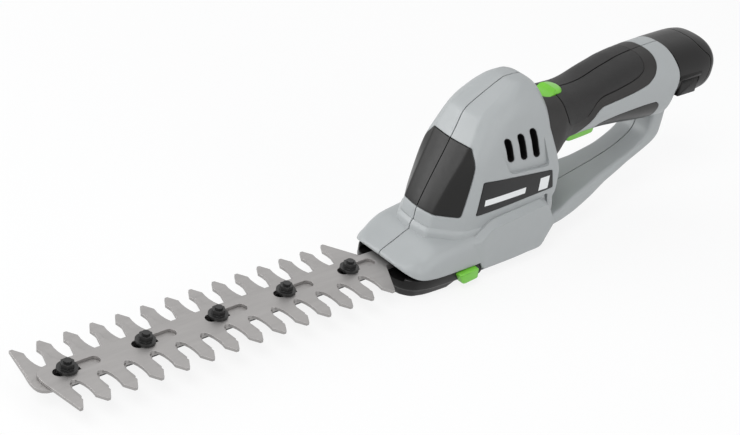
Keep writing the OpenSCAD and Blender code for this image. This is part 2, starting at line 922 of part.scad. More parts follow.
module motor_magnets() {
  color(DARK)
    translate([motor_x, 0, motor_z + 2 * motor_wall])
      difference() {
        cylinder(h = magnet_h_share * motor_h, d = motor_d - 2 * motor_wall, $fn = round_fn);
        translate([0, 0, -over])
          cylinder(h = motor_h, d = armature_d + 2 * rotor_air, $fn = round_fn);
        translate([-motor_d, -magnet_gap / 2, -over]) cube([2 * motor_d, magnet_gap, motor_h]);
      }
}

module motor_end_cap() {
  color(DARK)
    translate([motor_x, 0, motor_top])
      difference() {
        cylinder(h = motor_cap_t, d = motor_d, $fn = round_fn);
        translate([0, 0, -over]) cylinder(h = motor_cap_t + 2 * over, d = bush_d, $fn = round_fn);
      }
}

// Sintered bushes at both ends of the motor
module motor_bushes() {
  color(COPPER)
    for (z = [motor_z, motor_top + motor_cap_t - bush_h])
      translate([motor_x, 0, z])
        difference() {
          cylinder(h = bush_h, d = bush_d, $fn = round_fn);
          translate([0, 0, -over])
            cylinder(h = bush_h + 2 * over, d = motor_shaft_d + 2 * run_fit, $fn = round_fn);
        }
}

// Rotor: shaft, armature, commutator, fan and pinion
fan_lift = 1.5;
fan_z = motor_top + motor_cap_t + fan_lift;
pinion_z = gear_z - gear_lift / 2;
pinion_h = gear_t + gear_lift;
rotor_air = 1.2;
armature_d = motor_d - 2 * motor_wall - 2 * magnet_t - 2 * rotor_air;
armature_h_share = 0.55;
armature_lift = 4;
commutator_drop = 2;
commutator_d = 10;
commutator_h = 8;

module rotor_shaft() {
  color(BRIGHT)
    translate([motor_x, 0, pinion_z])
      cylinder(h = fan_z + fan_h - pinion_z, d = motor_shaft_d, $fn = round_fn);
}

module on_rotor(z, h, d) {
  translate([motor_x, 0, z])
    difference() {
      cylinder(h = h, d = d, $fn = round_fn);
      translate([0, 0, -over]) cylinder(h = h + 2 * over, d = motor_shaft_d, $fn = round_fn);
    }
}

module armature() {
  color(COPPER) on_rotor(motor_z + bush_h + armature_lift, armature_h_share * motor_h, armature_d);
}

module commutator() {
  color(COPPER) on_rotor(motor_top - commutator_h - commutator_drop, commutator_h, commutator_d);
}

fan_hub_d = 9;
fan_plate_t = 1.5;
vane_t = 1.2;

module cooling_fan() {
  color(DARK) {
    on_rotor(fan_z, fan_h, fan_hub_d);
    on_rotor(fan_z, fan_plate_t, fan_d);
    for (i = [0 : fan_vanes - 1])
      translate([motor_x, 0, fan_z])
        rotate(i * 360 / fan_vanes)
          translate([fan_hub_d / 2 - vane_t / 4, -vane_t / 2, fan_plate_t / 2])
            cube([(fan_d - fan_hub_d) / 2 - vane_t / 4, vane_t, fan_h - fan_plate_t / 2]);
  }
}

// Outline of a spur gear with straight-sided teeth
module gear_outline(teeth) {
  pitch_r = gear_module * teeth / 2;
  tip_r = pitch_r + tooth_out_share * gear_module;
  root_r = pitch_r - tooth_in_share * gear_module;
  tip_a = tooth_tip_share * gear_module / tip_r * 180 / PI;
  root_a = tooth_root_share * gear_module / root_r * 180 / PI;
  flank = [[root_r, -root_a], [tip_r, -tip_a], [tip_r, tip_a], [root_r, root_a]];
  polygon([for (i = [0 : teeth - 1], s = flank)
    let (a = i * 360 / teeth + s[1]) [s[0] * cos(a), s[0] * sin(a)]]);
}

// The pinion faces the gear with a tooth, and the gear faces it with a gap
module motor_pinion() {
  color(BRIGHT)
    translate([motor_x, 0, pinion_z])
      difference() {
        linear_extrude(pinion_h) rotate(180) gear_outline(pinion_teeth);
        translate([0, 0, -over]) cylinder(h = pinion_h + 2 * over, d = motor_shaft_d, $fn = round_fn);
      }
}

// Circuit board standing on the motor's plate
board_t = 1.6;
board_half = 15;
board_h = 32;
board_x = mount_rear - board_t;

module control_board() {
  color(BOARD_GREEN)
    translate([board_x, -board_half, motor_z]) cube([board_t, 2 * board_half, board_h]);
}

// Insulated wire along a list of places
wire_d = 2;
wire_fn = 10;

module wire(places) {
  for (i = [0 : len(places) - 2])
    hull()
      for (p = [places[i], places[i + 1]])
        translate(p) sphere(d = wire_d, $fn = wire_fn);
}

// The two leads from the motor's cap to the board: where they leave the cap, as a share of
// its radius, how far apart they run, and how high they rise over the board
lead_start_share = 0.79;
lead_out_half = 8.5;
lead_half = 7;
lead_rise = 4;

module motor_leads() {
  color(RED)
    for (sy = [LEFT, RIGHT])
      wire([[motor_x + lead_start_share * motor_d / 2, sy * lead_out_half,
             motor_top + motor_cap_t + wire_d / 2],
            [motor_x + motor_d / 2 + wire_d, sy * lead_out_half,
             motor_top + motor_cap_t + wire_d / 2],
            [board_x - wire_d, sy * lead_half, motor_z + board_h + lead_rise],
            [board_x + board_t / 2, sy * lead_half, motor_z + board_h + wire_d / 2]]);
}

// The two leads from the board to the battery's terminals
lead_high_share = 0.758;
lead_side = 9.4;
// Places of their bends along the handle
lead_bend_shares = [0.38, 0.50, 0.655];

module battery_leads() {
  high = bz(lead_high_share);
  color(BLACK)
    for (sy = [LEFT, RIGHT])
      wire([[board_x + board_t / 2, sy * lead_side, motor_z + board_h + wire_d / 2],
            [board_x + 2 * wire_d, sy * lead_side, motor_z + board_h + 2 * lead_rise],
            [hx(lead_bend_shares[0]), sy * lead_side, high - wire_d],
            [hx(lead_bend_shares[1]), sy * lead_side, high],
            [hx(lead_bend_shares[2]), sy * lead_side, high],
            [terminal_x - wire_d / 2, sy * (contact_half + contact_t / 2 + wire_d / 2), battery_z]]);
}

// Switch over the trigger, held by ears on the handle's ribs
module trigger_switch() {
  color(BLACK) {
    translate([switch_front, -switch_half, switch_z]) cube([switch_len, 2 * switch_half, switch_h]);
    translate([switch_front, -switch_half - switch_ear, switch_z])
      cube([switch_len, 2 * (switch_half + switch_ear), rib_t]);
  }
}

// Trigger on its pin
trigger_hub_d = 9;

module trigger_pin() {
  color(BRIGHT)
    translate([trigger_x, handle_room_half - 2 * fit, trigger_z])
      rotate([90, 0, 0])
        cylinder(h = 2 * (handle_room_half - 2 * fit), d = trigger_pin_d, $fn = round_fn);
}

// Trigger outline, as shares of its length and drop from the pin
trigger_shares = [[-0.13, -0.20], [0.08, -0.92], [0.22, -1.0], [0.94, -0.88], [1.0, -0.78],
  [1.0, -0.30], [0.60, -0.05], [0.18, 0.24]];

module trigger() {
  color(GREEN)
    translate([trigger_x, trigger_w / 2, trigger_z])
      rotate([90, 0, 0])
        difference() {
          union() {
            linear_extrude(trigger_w)
              polygon([for (p = trigger_shares) [p[0] * trigger_len, p[1] * trigger_drop]]);
            cylinder(h = trigger_w, d = trigger_hub_d, $fn = round_fn);
          }
          translate([0, 0, -over])
            cylinder(h = trigger_w + 2 * over, d = trigger_pin_d + 2 * run_fit, $fn = round_fn);
        }
}

// Coil of round wire about Z, as one unbroken tube
coil_steps = 8;
coil_sides = 6;

module coil(mean_r, wire_r, turns, height) {
  rings = coil_steps * turns;
  sides = coil_sides;
  points = [for (i = [0 : rings], k = [0 : sides - 1])
    let (a = i * 360 / coil_steps, b = k * 360 / sides, r = mean_r + wire_r * cos(b))
      [r * cos(a), r * sin(a), wire_r + (height - 2 * wire_r) * i / rings + wire_r * sin(b)]];
  sides_faces = [for (i = [0 : rings - 1], k = [0 : sides - 1], t = [0, 1])
    let (p = i * sides + k, q = i * sides + (k + 1) % sides)
      t == 0 ? [p, q, q + sides] : [p, q + sides, p + sides]];
  start = [for (k = [1 : sides - 2]) [0, k + 1, k]];
  last = rings * sides;
  end = [for (k = [1 : sides - 2]) [last, last + k, last + k + 1]];
  polyhedron(points, concat(sides_faces, start, end));
}

// Torsion spring round the trigger's pin, beside the trigger
trigger_spring_turns = 3;
trigger_spring_w = 3.4;

module trigger_spring() {
  color(BRIGHT)
    translate([trigger_x, trigger_w / 2 + fit, trigger_z])
      rotate([-90, 0, 0])
        coil(trigger_pin_d / 2 + spring_wire_d, spring_wire_d / 2, trigger_spring_turns,
             trigger_spring_w);
}

// Lock-off button, pressed down into the handle
lock_slope_share = 0.12;

module lock_off_button() {
  color(GREEN)
    translate([lock_x, 0, lock_top_z - lock_h])
      difference() {
        stadium(lock_len, lock_w, lock_h);
        translate([-lock_len / 2, -lock_w, lock_h])
          rotate([0, atan(lock_slope_share), 0])
            cube([2 * lock_len, 2 * lock_w, lock_h]);
      }
}

lock_spring_d = 6;
lock_spring_turns = 4;
lock_seat_share = 0.70;
lock_seat_z = bz(lock_seat_share);

module lock_off_spring() {
  color(BRIGHT)
    translate([lock_x, 0, lock_seat_z])
      coil((lock_spring_d - spring_wire_d) / 2, spring_wire_d / 2, lock_spring_turns,
           lock_top_z - lock_h - lock_seat_z);
}

// Terminal block in front of the battery's stem
terminal_t = 5;
terminal_x = stem_front - 2 * fit - terminal_t;
contact_w = 6;
contact_t = 1;
contact_reach = 3;
contact_half = lead_half / 2;
terminal_h_share = 0.6;
terminal_h = terminal_h_share * stem_h;

module terminal_block() {
  color(BLACK)
    translate([terminal_x, 0, battery_z])
      difference() {
        translate([0, -handle_room_half + fit, -terminal_h / 2])
          cube([terminal_t, 2 * (handle_room_half - fit), terminal_h]);
        for (sy = [LEFT, RIGHT])
          translate([-over, sy * contact_half - contact_t / 2, -contact_w / 2])
            cube([terminal_t + 2 * over, contact_t, contact_w]);
      }
}

module terminal_contacts() {
  color(COPPER)
    for (sy = [LEFT, RIGHT])
      translate([terminal_x - wire_d, sy * contact_half - contact_t / 2, battery_z - contact_w / 2])
        cube([terminal_t + wire_d + contact_reach, contact_t, contact_w]);
}

// Level outline of the cassette, following the shoe's nose
function base_half(inset) = [for (i = [0 : shoe_nose_rows - 1])
  [bx(shoe_shares[i][0]) + cassette_inset + inset, by(shoe_shares[i][1]) - cassette_inset - inset]];

function base_outline(inset) =
  let (front = base_half(inset),
       wide_end = front[shoe_nose_rows - 1][0] - cassette_inset - 2 * inset - 2 * fit,
       r = cassette_rear_half - inset, rear = cassette_rear - inset,
       right = concat([for (i = [0 : shoe_nose_rows - 2]) front[i]],
         [[wide_end, front[shoe_nose_rows - 1][1]], [wide_end, r], [rear, r]]))
  concat(right, [for (i = [len(right) - 1 : -1 : 0]) [right[i][0], -right[i][1]]]);

// Cassette base: foot, tray and the inner walls beside the blades
skirt_z = bz(shoe_shares[shoe_nose_rows - 1][3]);
foot_inset = 3;
tray_half = throw + eccentric_d / 2 + yoke_play + yoke_rim + 2 * fit;
wall_inset = wall + 2 * fit;
crank_bush_d = crank_d + 2 * run_fit + 2 * bush_wall;
crank_seat = 2;
bar_screw_shares = [0.25, 0.65];

module cassette_base() {
  color(BLACK)
    difference() {
      union() {
        linear_extrude(cassette_foot) polygon(base_outline(foot_inset));
        translate([0, 0, cassette_foot])
          linear_extrude(skirt_z - fit - cassette_foot) polygon(base_outline(0));
        translate([0, 0, skirt_z - fit - slice])
          linear_extrude(cover_z - skirt_z + fit + slice) polygon(base_outline(wall_inset));
      }
      translate([-2 * nose_reach, -tray_half, bar_z])
        cube([2 * nose_reach + cassette_rear - wall_inset - rib_t, 2 * tray_half, body_h]);
      translate([0, 0, crank_seat]) cylinder(h = bar_z, d = crank_bush_d, $fn = round_fn);
      bar_screw_places() {
        translate([0, 0, -over]) cylinder(h = body_h, d = bar_screw_d, $fn = round_fn);
        translate([0, 0, -over])
          cylinder(h = bar_z / 2 + over, d = 2 * bar_screw_d + fit, $fn = round_fn);
      }
      for (side = [LEFT, RIGHT]) button_pocket(side);
      cover_screw_places()
        translate([0, 0, -cover_screw_len])
          cylinder(h = cover_screw_len + over, d = cover_screw_d, $fn = round_fn);
    }
}

// Screws that hold the bar from below
module bar_screw_places() {
  for (s = bar_screw_shares)
    translate([-bar_rear - s * (nose_reach - bar_rear), 0, 0]) children();
}

module bar_screws() {
  color(BRIGHT)
    bar_screw_places() {
      translate([0, 0, bar_z / 2]) cylinder(h = bar_top_z - bar_z / 2, d = bar_screw_d, $fn = round_fn);
      translate([0, 0, bar_z / 2 - bar_screw_d / 2])
        cylinder(h = bar_screw_d / 2, d = 2 * bar_screw_d - fit, $fn = round_fn);
    }
}

// Cover plate over the blades' tails
cover_screw_d = 2;
cover_screw_len = 4;
cover_screw_head_t = 0.5;
// Places of the cover's screws from the crank's axis to the nose
cover_screw_shares = [0.58, 0.20];

module cassette_cover() {
  color(BLACK)
    difference() {
      translate([0, 0, cover_z]) linear_extrude(cover_t) polygon(base_outline(wall_inset));
      translate([0, 0, cover_z - over])
        cylinder(h = cover_t + 2 * over, d = crank_bush_d, $fn = round_fn);
      cover_screw_places()
        translate([0, 0, -over])
          cylinder(h = cover_t + 2 * over, d = cover_screw_d, $fn = round_fn);
    }
}

module cover_screw_places() {
  y = (tray_half + by(shoe_shares[4][1]) - cassette_inset - wall_inset) / 2;
  for (sy = [LEFT, RIGHT], s = cover_screw_shares)
    translate([-s * nose_reach, sy * y, cover_z]) children();
}

module cover_screws() {
  color(BRIGHT)
    cover_screw_places() {
      translate([0, 0, -cover_screw_len])
        cylinder(h = cover_screw_len + cover_t, d = cover_screw_d, $fn = round_fn);
      translate([0, 0, cover_t]) cylinder(h = cover_screw_head_t, d = 2 * cover_screw_d, $fn = round_fn);
    }
}

// Release buttons in the cassette's sides
button_x = -13;
button_z = skirt_z - 3 * fit - button_h / 2;

module button_pocket(side) {
  deep = button_depth + button_travel + 2 * fit;
  translate([button_x - button_len / 2 - fit, side > 0 ? button_reach - deep : -button_reach - over,
             button_z - button_h / 2 - fit])
    cube([button_len + 2 * fit, deep + over, button_h + 2 * fit]);
}

module release_button(side) {
  color(GREEN)
    translate([button_x, side * (button_reach - button_depth), button_z])
      rotate([side > 0 ? -90 : 90, 0, 0])
        stadium(button_len, button_h, button_depth);
}

module release_button_left() { release_button(LEFT); }
module release_button_right() { release_button(RIGHT); }

// Support bar under the blades
bolt_x0 = -blade_reach + first_bolt;

module bolt_places() {
  for (i = [0 : bolt_count - 1])
    translate([bolt_x0 + i * bolt_spacing, 0, 0]) children();
}

module support_bar() {
  front = bolt_x0 - bar_lead;
  color(BLACK)
    difference() {
      union() {
        translate([front, -bar_half, bar_z]) cube([-bar_rear - front, 2 * bar_half, bar_t]);
        translate([front, 0, bar_z]) cylinder(h = bar_t, r = bar_half, $fn = round_fn);
      }
      bolt_places()
        translate([0, 0, bar_z - over]) cylinder(h = bar_t + 2 * over, d = shank_d, $fn = round_fn);
      bar_screw_places()
        translate([0, 0, bar_z - over]) cylinder(h = bar_t + 2 * over, d = bar_screw_d, $fn = round_fn);
    }
}

// Shoulder bolts that guide the blades
shoulder_top = blade_top_z + plate_gap;

module blade_bolts() {
  color(BLACK)
    bolt_places() {
      translate([0, 0, bar_z - bolt_head_t]) cylinder(h = bolt_head_t, d = bolt_head_d, $fn = round_fn);
      translate([0, 0, bar_z]) cylinder(h = shoulder_top - bar_z, d = shank_d, $fn = round_fn);
      translate([0, 0, shoulder_top])
        cylinder(h = nut_flange_t + nut_hex_h + bolt_end_h, d = bolt_thread_d, $fn = round_fn);
    }
}

module flange_nuts() {
  color(BLACK)
    bolt_places()
      translate([0, 0, shoulder_top])
        difference() {
          union() {
            cylinder(h = nut_flange_t, d = nut_flange_d, $fn = round_fn);
            translate([0, 0, nut_flange_t]) cylinder(h = nut_hex_h, d = nut_hex_d, $fn = 6);
          }
          translate([0, 0, -over])
            cylinder(h = nut_flange_t + nut_hex_h + 2 * over, d = bolt_thread_d, $fn = round_fn);
        }
}

// Bushes that carry the crank in the base and the cover
module crank_bushes() {
  color(COPPER) {
    crank_bush(crank_seat, bar_z - crank_seat);
    crank_bush(cover_z, cover_t);
  }
}

module crank_bush(z, h) {
  translate([0, 0, z])
    difference() {
      cylinder(h = h, d = crank_bush_d, $fn = round_fn);
      translate([0, 0, -over]) cylinder(h = h + 2 * over, d = crank_d + 2 * run_fit, $fn = round_fn);
    }
}

// Crank shaft with its two eccentrics, half a turn apart
module crank_shaft() {
  color(BRIGHT) {
    translate([0, 0, crank_seat + fit])
      cylinder(h = gear_z + gear_t - crank_seat - fit, d = crank_d, $fn = round_fn);
    translate([throw, 0, lower_top_z + plate_gap / 2])
      cylinder(h = blade_t + plate_gap, d = eccentric_d, $fn = round_fn);
    translate([-throw, 0, bar_top_z + plate_gap / 2])
      cylinder(h = blade_t + plate_gap, d = eccentric_d, $fn = round_fn);
  }
}

module crank_gear() {
  color(STEEL)
    translate([0, 0, gear_z])
      difference() {
        linear_extrude(gear_t) rotate(gear_rest_angle) gear_outline(gear_teeth);
        translate([0, 0, -over]) cylinder(h = gear_t + 2 * over, d = crank_d, $fn = round_fn);
      }
}
gear_rest_angle = 180 / gear_teeth;

// Outline of one blade with its blunt teeth on the minus Y side
tip_lead = 4.6;
tail_half = throw + eccentric_d / 2 + yoke_play + yoke_rim;
tail_neck = 7;
gap_steps = 12;
// Middle of a gap's oval between the spine and the shoulders
gap_middle_share = 0.67;
// Cutting tooth outline along the pitch: front root, front end, rear waist, rear root
cutter_shares = [0.29, 0.51, 0.585, 0.73];
// Reach of the last tooth's sloping flank along the pitch
last_flank_share = 0.87;
// The tip's rounded corner, as shares of the lead and the spine's half width
tip_corner_shares = [[-1.0, -0.3], [-1.0, 0.1], [-0.88, 0.45], [-0.55, 0.72], [0.1, 0.92]];
// Where the tail widens in front of its yoke, in yoke lengths
tail_taper = 20;

function gap_middle() = spine_half + (tooth_shoulder - spine_half) * gap_middle_share;

function gap_points(x) =
  let (yc = gap_middle(), b = yc - spine_half, s = (tooth_shoulder - yc) / b, t = asin(s),
       a = (tooth_pitch / 2 - tooth_head_half) / cos(t))
  [for (k = [0 : gap_steps])
    let (f = 180 - t + k * (180 + 2 * t) / gap_steps) [x + a * cos(f), -(yc + b * sin(f))]];

function blunt_points(x, i) = concat(
  [[x - tooth_end_half, -tooth_reach], [x + tooth_end_half, -tooth_reach]],
  i < tooth_count - 1 ? gap_points(x + tooth_pitch / 2)
    : [[x + last_flank_share * tooth_pitch, -tail_neck]]);

function cutter_points(x) = [
  [x + cutter_shares[3] * tooth_pitch, spine_half],
  [x + cutter_shares[2] * tooth_pitch, (spine_half + cutter_reach) / 2 - cutter_end_w],
  [x + cutter_shares[1] * tooth_pitch + cutter_end_w, cutter_reach],
  [x + cutter_shares[1] * tooth_pitch, cutter_reach],
  [x + cutter_shares[0] * tooth_pitch, spine_half]];

function blade_outline(row_x, yoke_x) =
  let (end = yoke_x + eccentric_d / 2 + yoke_play + yoke_rim,
       wide = yoke_x - eccentric_d / 2 - yoke_play - yoke_rim)
  concat(
    [for (p = tip_corner_shares) if (p[1] < 0) [row_x + p[0] * tip_lead, p[1] * spine_half]],
    [for (i = [0 : tooth_count - 1]) each blunt_points(row_x + i * tooth_pitch, i)],
    [[wide - tail_taper, -tail_neck], [wide, -tail_half], [end, -tail_half],
     [end, tail_half], [wide, tail_half], [wide - tail_taper, tail_neck]],
    [for (i = [tooth_count - 2 : -1 : 0]) each cutter_points(row_x + i * tooth_pitch)],
    [for (k = [len(tip_corner_shares) - 1 : -1 : 1])
      [row_x + tip_corner_shares[k][0] * tip_lead, tip_corner_shares[k][1] * spine_half]]);

// One blade plate with its guide slots and yoke
module blade_plate(row_x, yoke_x) {
  difference() {
    linear_extrude(blade_t) polygon(blade_outline(row_x, yoke_x));
    bolt_places()
      translate([yoke_x, 0, -over]) stadium(slot_len, slot_w, blade_t + 2 * over);
    translate([yoke_x, 0, -over])
      rotate(90)
        stadium(2 * (throw + yoke_play) + eccentric_d, eccentric_d + 2 * yoke_play,
                blade_t + 2 * over);
  }
}

// The upper blade rests at its rear dead centre and the lower one at its front
module upper_blade() {
  color(STEEL)
    translate([0, 0, blade_top_z - blade_t]) blade_plate(-blade_reach, throw);
}

module lower_blade() {
  color(STEEL)
    translate([0, 0, lower_top_z - blade_t])
      mirror([0, 1, 0]) blade_plate(-blade_reach - lower_lead, -throw);
}

// Battery: stem in the handle, outer block behind the collar
block_round = 9;

module block_form(length, inset) {
  half = block_w / 2 - inset;
  rotate([90, 0, 90])
    linear_extrude(length)
      hull()
        for (sy = [-1, 1], z = [-block_down + inset + block_round, block_up - inset - block_round])
          translate([sy * (half - block_round), z]) circle(block_round, $fn = soft_fn);
}

// Wires reach the cell through the stem's front wall
module battery_case() {
  color(BLACK)
    difference() {
      union() {
        translate([handle_reach + slice + fit, 0, battery_z])
          block_form(block_len - slice - fit, 0);
        translate([stem_front, -stem_w / 2, battery_z - stem_h / 2])
          cube([stem_len + over, stem_w, stem_h]);
      }
      translate([cell_front - fit, -cell_d / 2 - fit, battery_z - cell_d / 2 - fit])
        cube([block_rear - cell_front + fit + over, cell_d + 2 * fit, cell_d + 2 * fit]);
      translate([stem_front - over, -contact_half - contact_t, battery_z - contact_w / 2 - fit])
        cube([contact_reach + over + fit, 2 * (contact_half + contact_t), contact_w + 2 * fit]);
      for (side = [LEFT, RIGHT]) latch_pocket(side);
    }
}
cell_front = stem_front + contact_reach + case_wall;

module battery_cell() {
  color(BLUE)
    translate([cell_front, 0, battery_z])
      rotate([0, 90, 0]) cylinder(h = cell_len, d = cell_d - fit, $fn = round_fn);
}

// Nickel strap from the cell's rear end along its top to the front
strap_t = 0.2;
strap_w = 8;
strap_share = 0.3;

module cell_strap() {
  color(BRIGHT)
    translate([cell_front, -strap_w / 2, battery_z]) {
      translate([cell_len, 0, -strap_share * cell_d])
        cube([strap_t, strap_w, strap_share * cell_d + (cell_d - fit) / 2 + strap_t]);
      translate([0, 0, (cell_d - fit) / 2]) cube([cell_len + strap_t, strap_w, strap_t]);
    }
}

// Taper of the end cap's rear edge, as a share of its length
cap_taper_share = 0.35;

module battery_end_cap() {
  taper = cap_taper_share * cap_len;
  color(BLACK)
    translate([block_rear, 0, battery_z]) {
      hull() {
        block_form(cap_len - taper, 0);
        translate([0, 0, -taper / 3]) block_form(cap_len, taper);
      }
      translate([-(block_rear - cell_front - cell_len - strap_t) + fit, -cell_d / 4, -cell_d / 4])
        cube([block_rear - cell_front - cell_len - strap_t - fit + over, cell_d / 2, cell_d / 2]);
    }
}

// Latches in the battery's sides
latch_set_back = 4;
latch_drop = 8;
latch_t = 3.6;
latch_x = handle_reach + latch_set_back;
latch_z = battery_z - latch_drop;

module latch_pocket(side) {
  deep = latch_t + latch_travel + fit;
  y0 = side > 0 ? block_w / 2 - deep : -block_w / 2 - over;
  translate([latch_x - fit, y0, latch_z - latch_h / 2 - fit])
    cube([latch_len + 2 * fit, deep + over, latch_h + 2 * fit]);
}

module battery_latch(side) {
  color(DARK)
    translate([latch_x, side > 0 ? block_w / 2 - latch_t : -block_w / 2, latch_z - latch_h / 2])
      cube([latch_len, latch_t, latch_h]);
}

module battery_latch_left() { battery_latch(LEFT); }
module battery_latch_right() { battery_latch(RIGHT); }

housing_left();
housing_right();
front_panel_left();
front_panel_right();
rating_label();
grip_left();
grip_right();
grip_pad_left();
grip_pad_right();
housing_screws();
motor_mount();
motor_can();
motor_magnets();
motor_end_cap();
motor_screws();
motor_bushes();
rotor_shaft();
armature();
commutator();
cooling_fan();
motor_pinion();
control_board();
motor_leads();
battery_leads();
trigger_switch();
trigger_pin();
trigger_spring();
trigger();
lock_off_button();
lock_off_spring();
terminal_block();
terminal_contacts();
cassette_base();
cassette_cover();
cover_screws();
support_bar();
bar_screws();
blade_bolts();
flange_nuts();
crank_bushes();
crank_shaft();
crank_gear();
upper_blade();
lower_blade();
release_button_left();
release_button_right();
battery_case();
battery_end_cap();
battery_cell();
cell_strap();
battery_latch_left();
battery_latch_right();
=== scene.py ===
"""Dresses the cordless grass shears: smooth housing, soft grip, controls, battery, blades and studio."""
import json
import logging
import math
from dataclasses import dataclass
from enum import Enum
from typing import Sequence

import bmesh
import bpy
import numpy as np
from mathutils import Matrix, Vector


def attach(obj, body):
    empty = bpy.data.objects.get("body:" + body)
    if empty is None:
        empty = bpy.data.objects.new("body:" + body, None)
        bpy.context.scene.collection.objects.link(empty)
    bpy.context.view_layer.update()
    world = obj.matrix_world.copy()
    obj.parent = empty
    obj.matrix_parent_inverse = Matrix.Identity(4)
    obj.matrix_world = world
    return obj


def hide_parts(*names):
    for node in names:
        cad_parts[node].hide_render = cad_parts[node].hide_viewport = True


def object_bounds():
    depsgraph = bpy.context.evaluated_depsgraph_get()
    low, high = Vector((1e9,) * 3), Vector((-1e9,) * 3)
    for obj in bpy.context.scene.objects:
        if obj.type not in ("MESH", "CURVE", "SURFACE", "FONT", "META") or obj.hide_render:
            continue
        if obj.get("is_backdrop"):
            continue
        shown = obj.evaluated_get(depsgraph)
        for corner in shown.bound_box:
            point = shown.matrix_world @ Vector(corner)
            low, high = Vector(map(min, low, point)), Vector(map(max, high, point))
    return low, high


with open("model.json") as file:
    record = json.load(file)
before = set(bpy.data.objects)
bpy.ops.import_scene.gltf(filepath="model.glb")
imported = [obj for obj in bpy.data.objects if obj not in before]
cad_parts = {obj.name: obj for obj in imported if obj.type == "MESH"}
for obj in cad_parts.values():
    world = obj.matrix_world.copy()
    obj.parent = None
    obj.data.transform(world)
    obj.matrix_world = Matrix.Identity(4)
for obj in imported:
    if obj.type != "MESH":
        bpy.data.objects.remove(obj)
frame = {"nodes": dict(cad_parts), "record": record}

LOG = logging.getLogger("shears")
# Lengths are in millimetres, unless a name or a docstring says otherwise.
MM = 0.001
PER_METRE = 1000.0
OVERRUN = 6.0
POCKET_OVERRUN = 3.0
FAR_REAR = 260.0
SIDE_BOX = ((-300.0, -50.0), (300.0, -50.0), (300.0, 200.0), (-300.0, 200.0))
LOFT_STEPS = 8
LINE_STEPS = 6
END_POINTS = 13
MERGE_M = 1e-7
TINY = 1e-9
KEY_CREASE = 50.0
MIX_SHARE, MIX_BELOW, MIX_ABOVE, MIX_RESULT = 0, 6, 7, 2
Points = Sequence[tuple[float, float]]
Span = tuple[float, float]
Place = tuple[float, float, float]
Color = tuple[float, float, float, float]
Rows = np.ndarray
Piece = bpy.types.Object


class Plane(Enum):
    """A plane for flat outlines: the axes of its two directions and of its depth."""

    SIDE = (0, 2, 1)
    TOP = (0, 1, 2)


class Joining(Enum):
    """How two closed solids are combined."""

    JOIN = "UNION"
    CUT = "DIFFERENCE"
    KEEP = "INTERSECT"


class Side(Enum):
    """The two sides of the tool, with the sign of Y."""

    LEFT = -1
    RIGHT = 1

    @property
    def word(self) -> str:
        """Gives the side as it stands in the names of pieces."""
        return self.name.lower()

    def span(self, inner: float, outer: float) -> Span:
        """Gives the range of Y between two distances from the middle plane, lower end first."""
        low, high = sorted((self.value * inner, self.value * outer))
        return low, high


def spline_rows(table: Rows, steps: int) -> Rows:
    """Runs a smooth curve through the rows of a table.

    Each column is a cubic Hermite curve over the row number, whose slope at a row is half the
    difference of its two neighbours.

    Args:
        table: Rows of values, one per station.
        steps: Number of new rows per old step.

    Returns:
        The finer table, with the old rows among its own.
    """
    table = np.asarray(table, float)
    slopes = np.gradient(table, axis=0)
    places = np.linspace(0, len(table) - 1, (len(table) - 1) * steps + 1)
    i = np.minimum(places.astype(int), len(table) - 2)
    t = (places - i)[:, None]
    start = (1 + 2 * t) * (1 - t) ** 2 * table[i] + t * (1 - t) ** 2 * slopes[i]
    return start + t * t * (3 - 2 * t) * table[i + 1] + t * t * (t - 1) * slopes[i + 1]


def smoothed(table: Rows, passes: int) -> Rows:
    """Softens kinks along a table: each inner row moves to the mean of itself and its neighbours.

    Args:
        table: Rows of values.
        passes: How often the mean is taken.

    Returns:
        The softer table, with its first and last rows kept.
    """
    soft = np.array(table, float)
    for _ in range(passes):
        soft[1:-1] = (soft[:-2] + 2 * soft[1:-1] + soft[2:]) / 4
    return soft


def even_steps(line: Rows, count: int) -> Rows:
    """Places points evenly along an open line.

    Args:
        line: Points of the line.
        count: Number of new points.

    Returns:
        The new points, with the line's two ends among them.
    """
    place = np.concatenate([[0.0], np.cumsum(np.linalg.norm(np.diff(line, axis=0), axis=-1))])
    steps = np.linspace(0, place[-1], count)
    return np.stack([np.interp(steps, place, column) for column in line.T], axis=-1)


def rounded_loop(points: Rows | Points, shares: float | Sequence[float], arc_steps: int = 6,
                 flat_steps: int = 3) -> Rows:
    """Rounds the corners of closed outlines.

    Each corner becomes a quadratic Bezier arc that starts and ends at a share of its two edges, and
    the straight rest of each edge is split evenly.

    Args:
        points: Corners, the last two axes being the corner and its two coordinates.
        shares: Share of the edges that a corner's arc takes, one for all corners or one for each.
        arc_steps: Points on each arc.
        flat_steps: Points inside each straight stretch.

    Returns:
        The outlines with their arcs.
    """
    points = np.asarray(points, float)
    share = np.broadcast_to(np.asarray(shares, float), points.shape[-2:-1])[:, None]
    start = points + share * (np.roll(points, 1, axis=-2) - points)
    end = points + share * (np.roll(points, -1, axis=-2) - points)
    first, corner, last = (p[..., None, :] for p in (start, points, end))
    t = np.linspace(0, 1, arc_steps)[:, None]
    arcs = (1 - t) ** 2 * first + 2 * t * (1 - t) * corner + t * t * last
    s = np.linspace(0, 1, flat_steps + 2)[1:-1, None]
    flats = (1 - s) * last + s * np.roll(start, -1, axis=-2)[..., None, :]
    both = np.concatenate([arcs, flats], axis=-2)
    return both.reshape(points.shape[:-2] + (-1, 2))


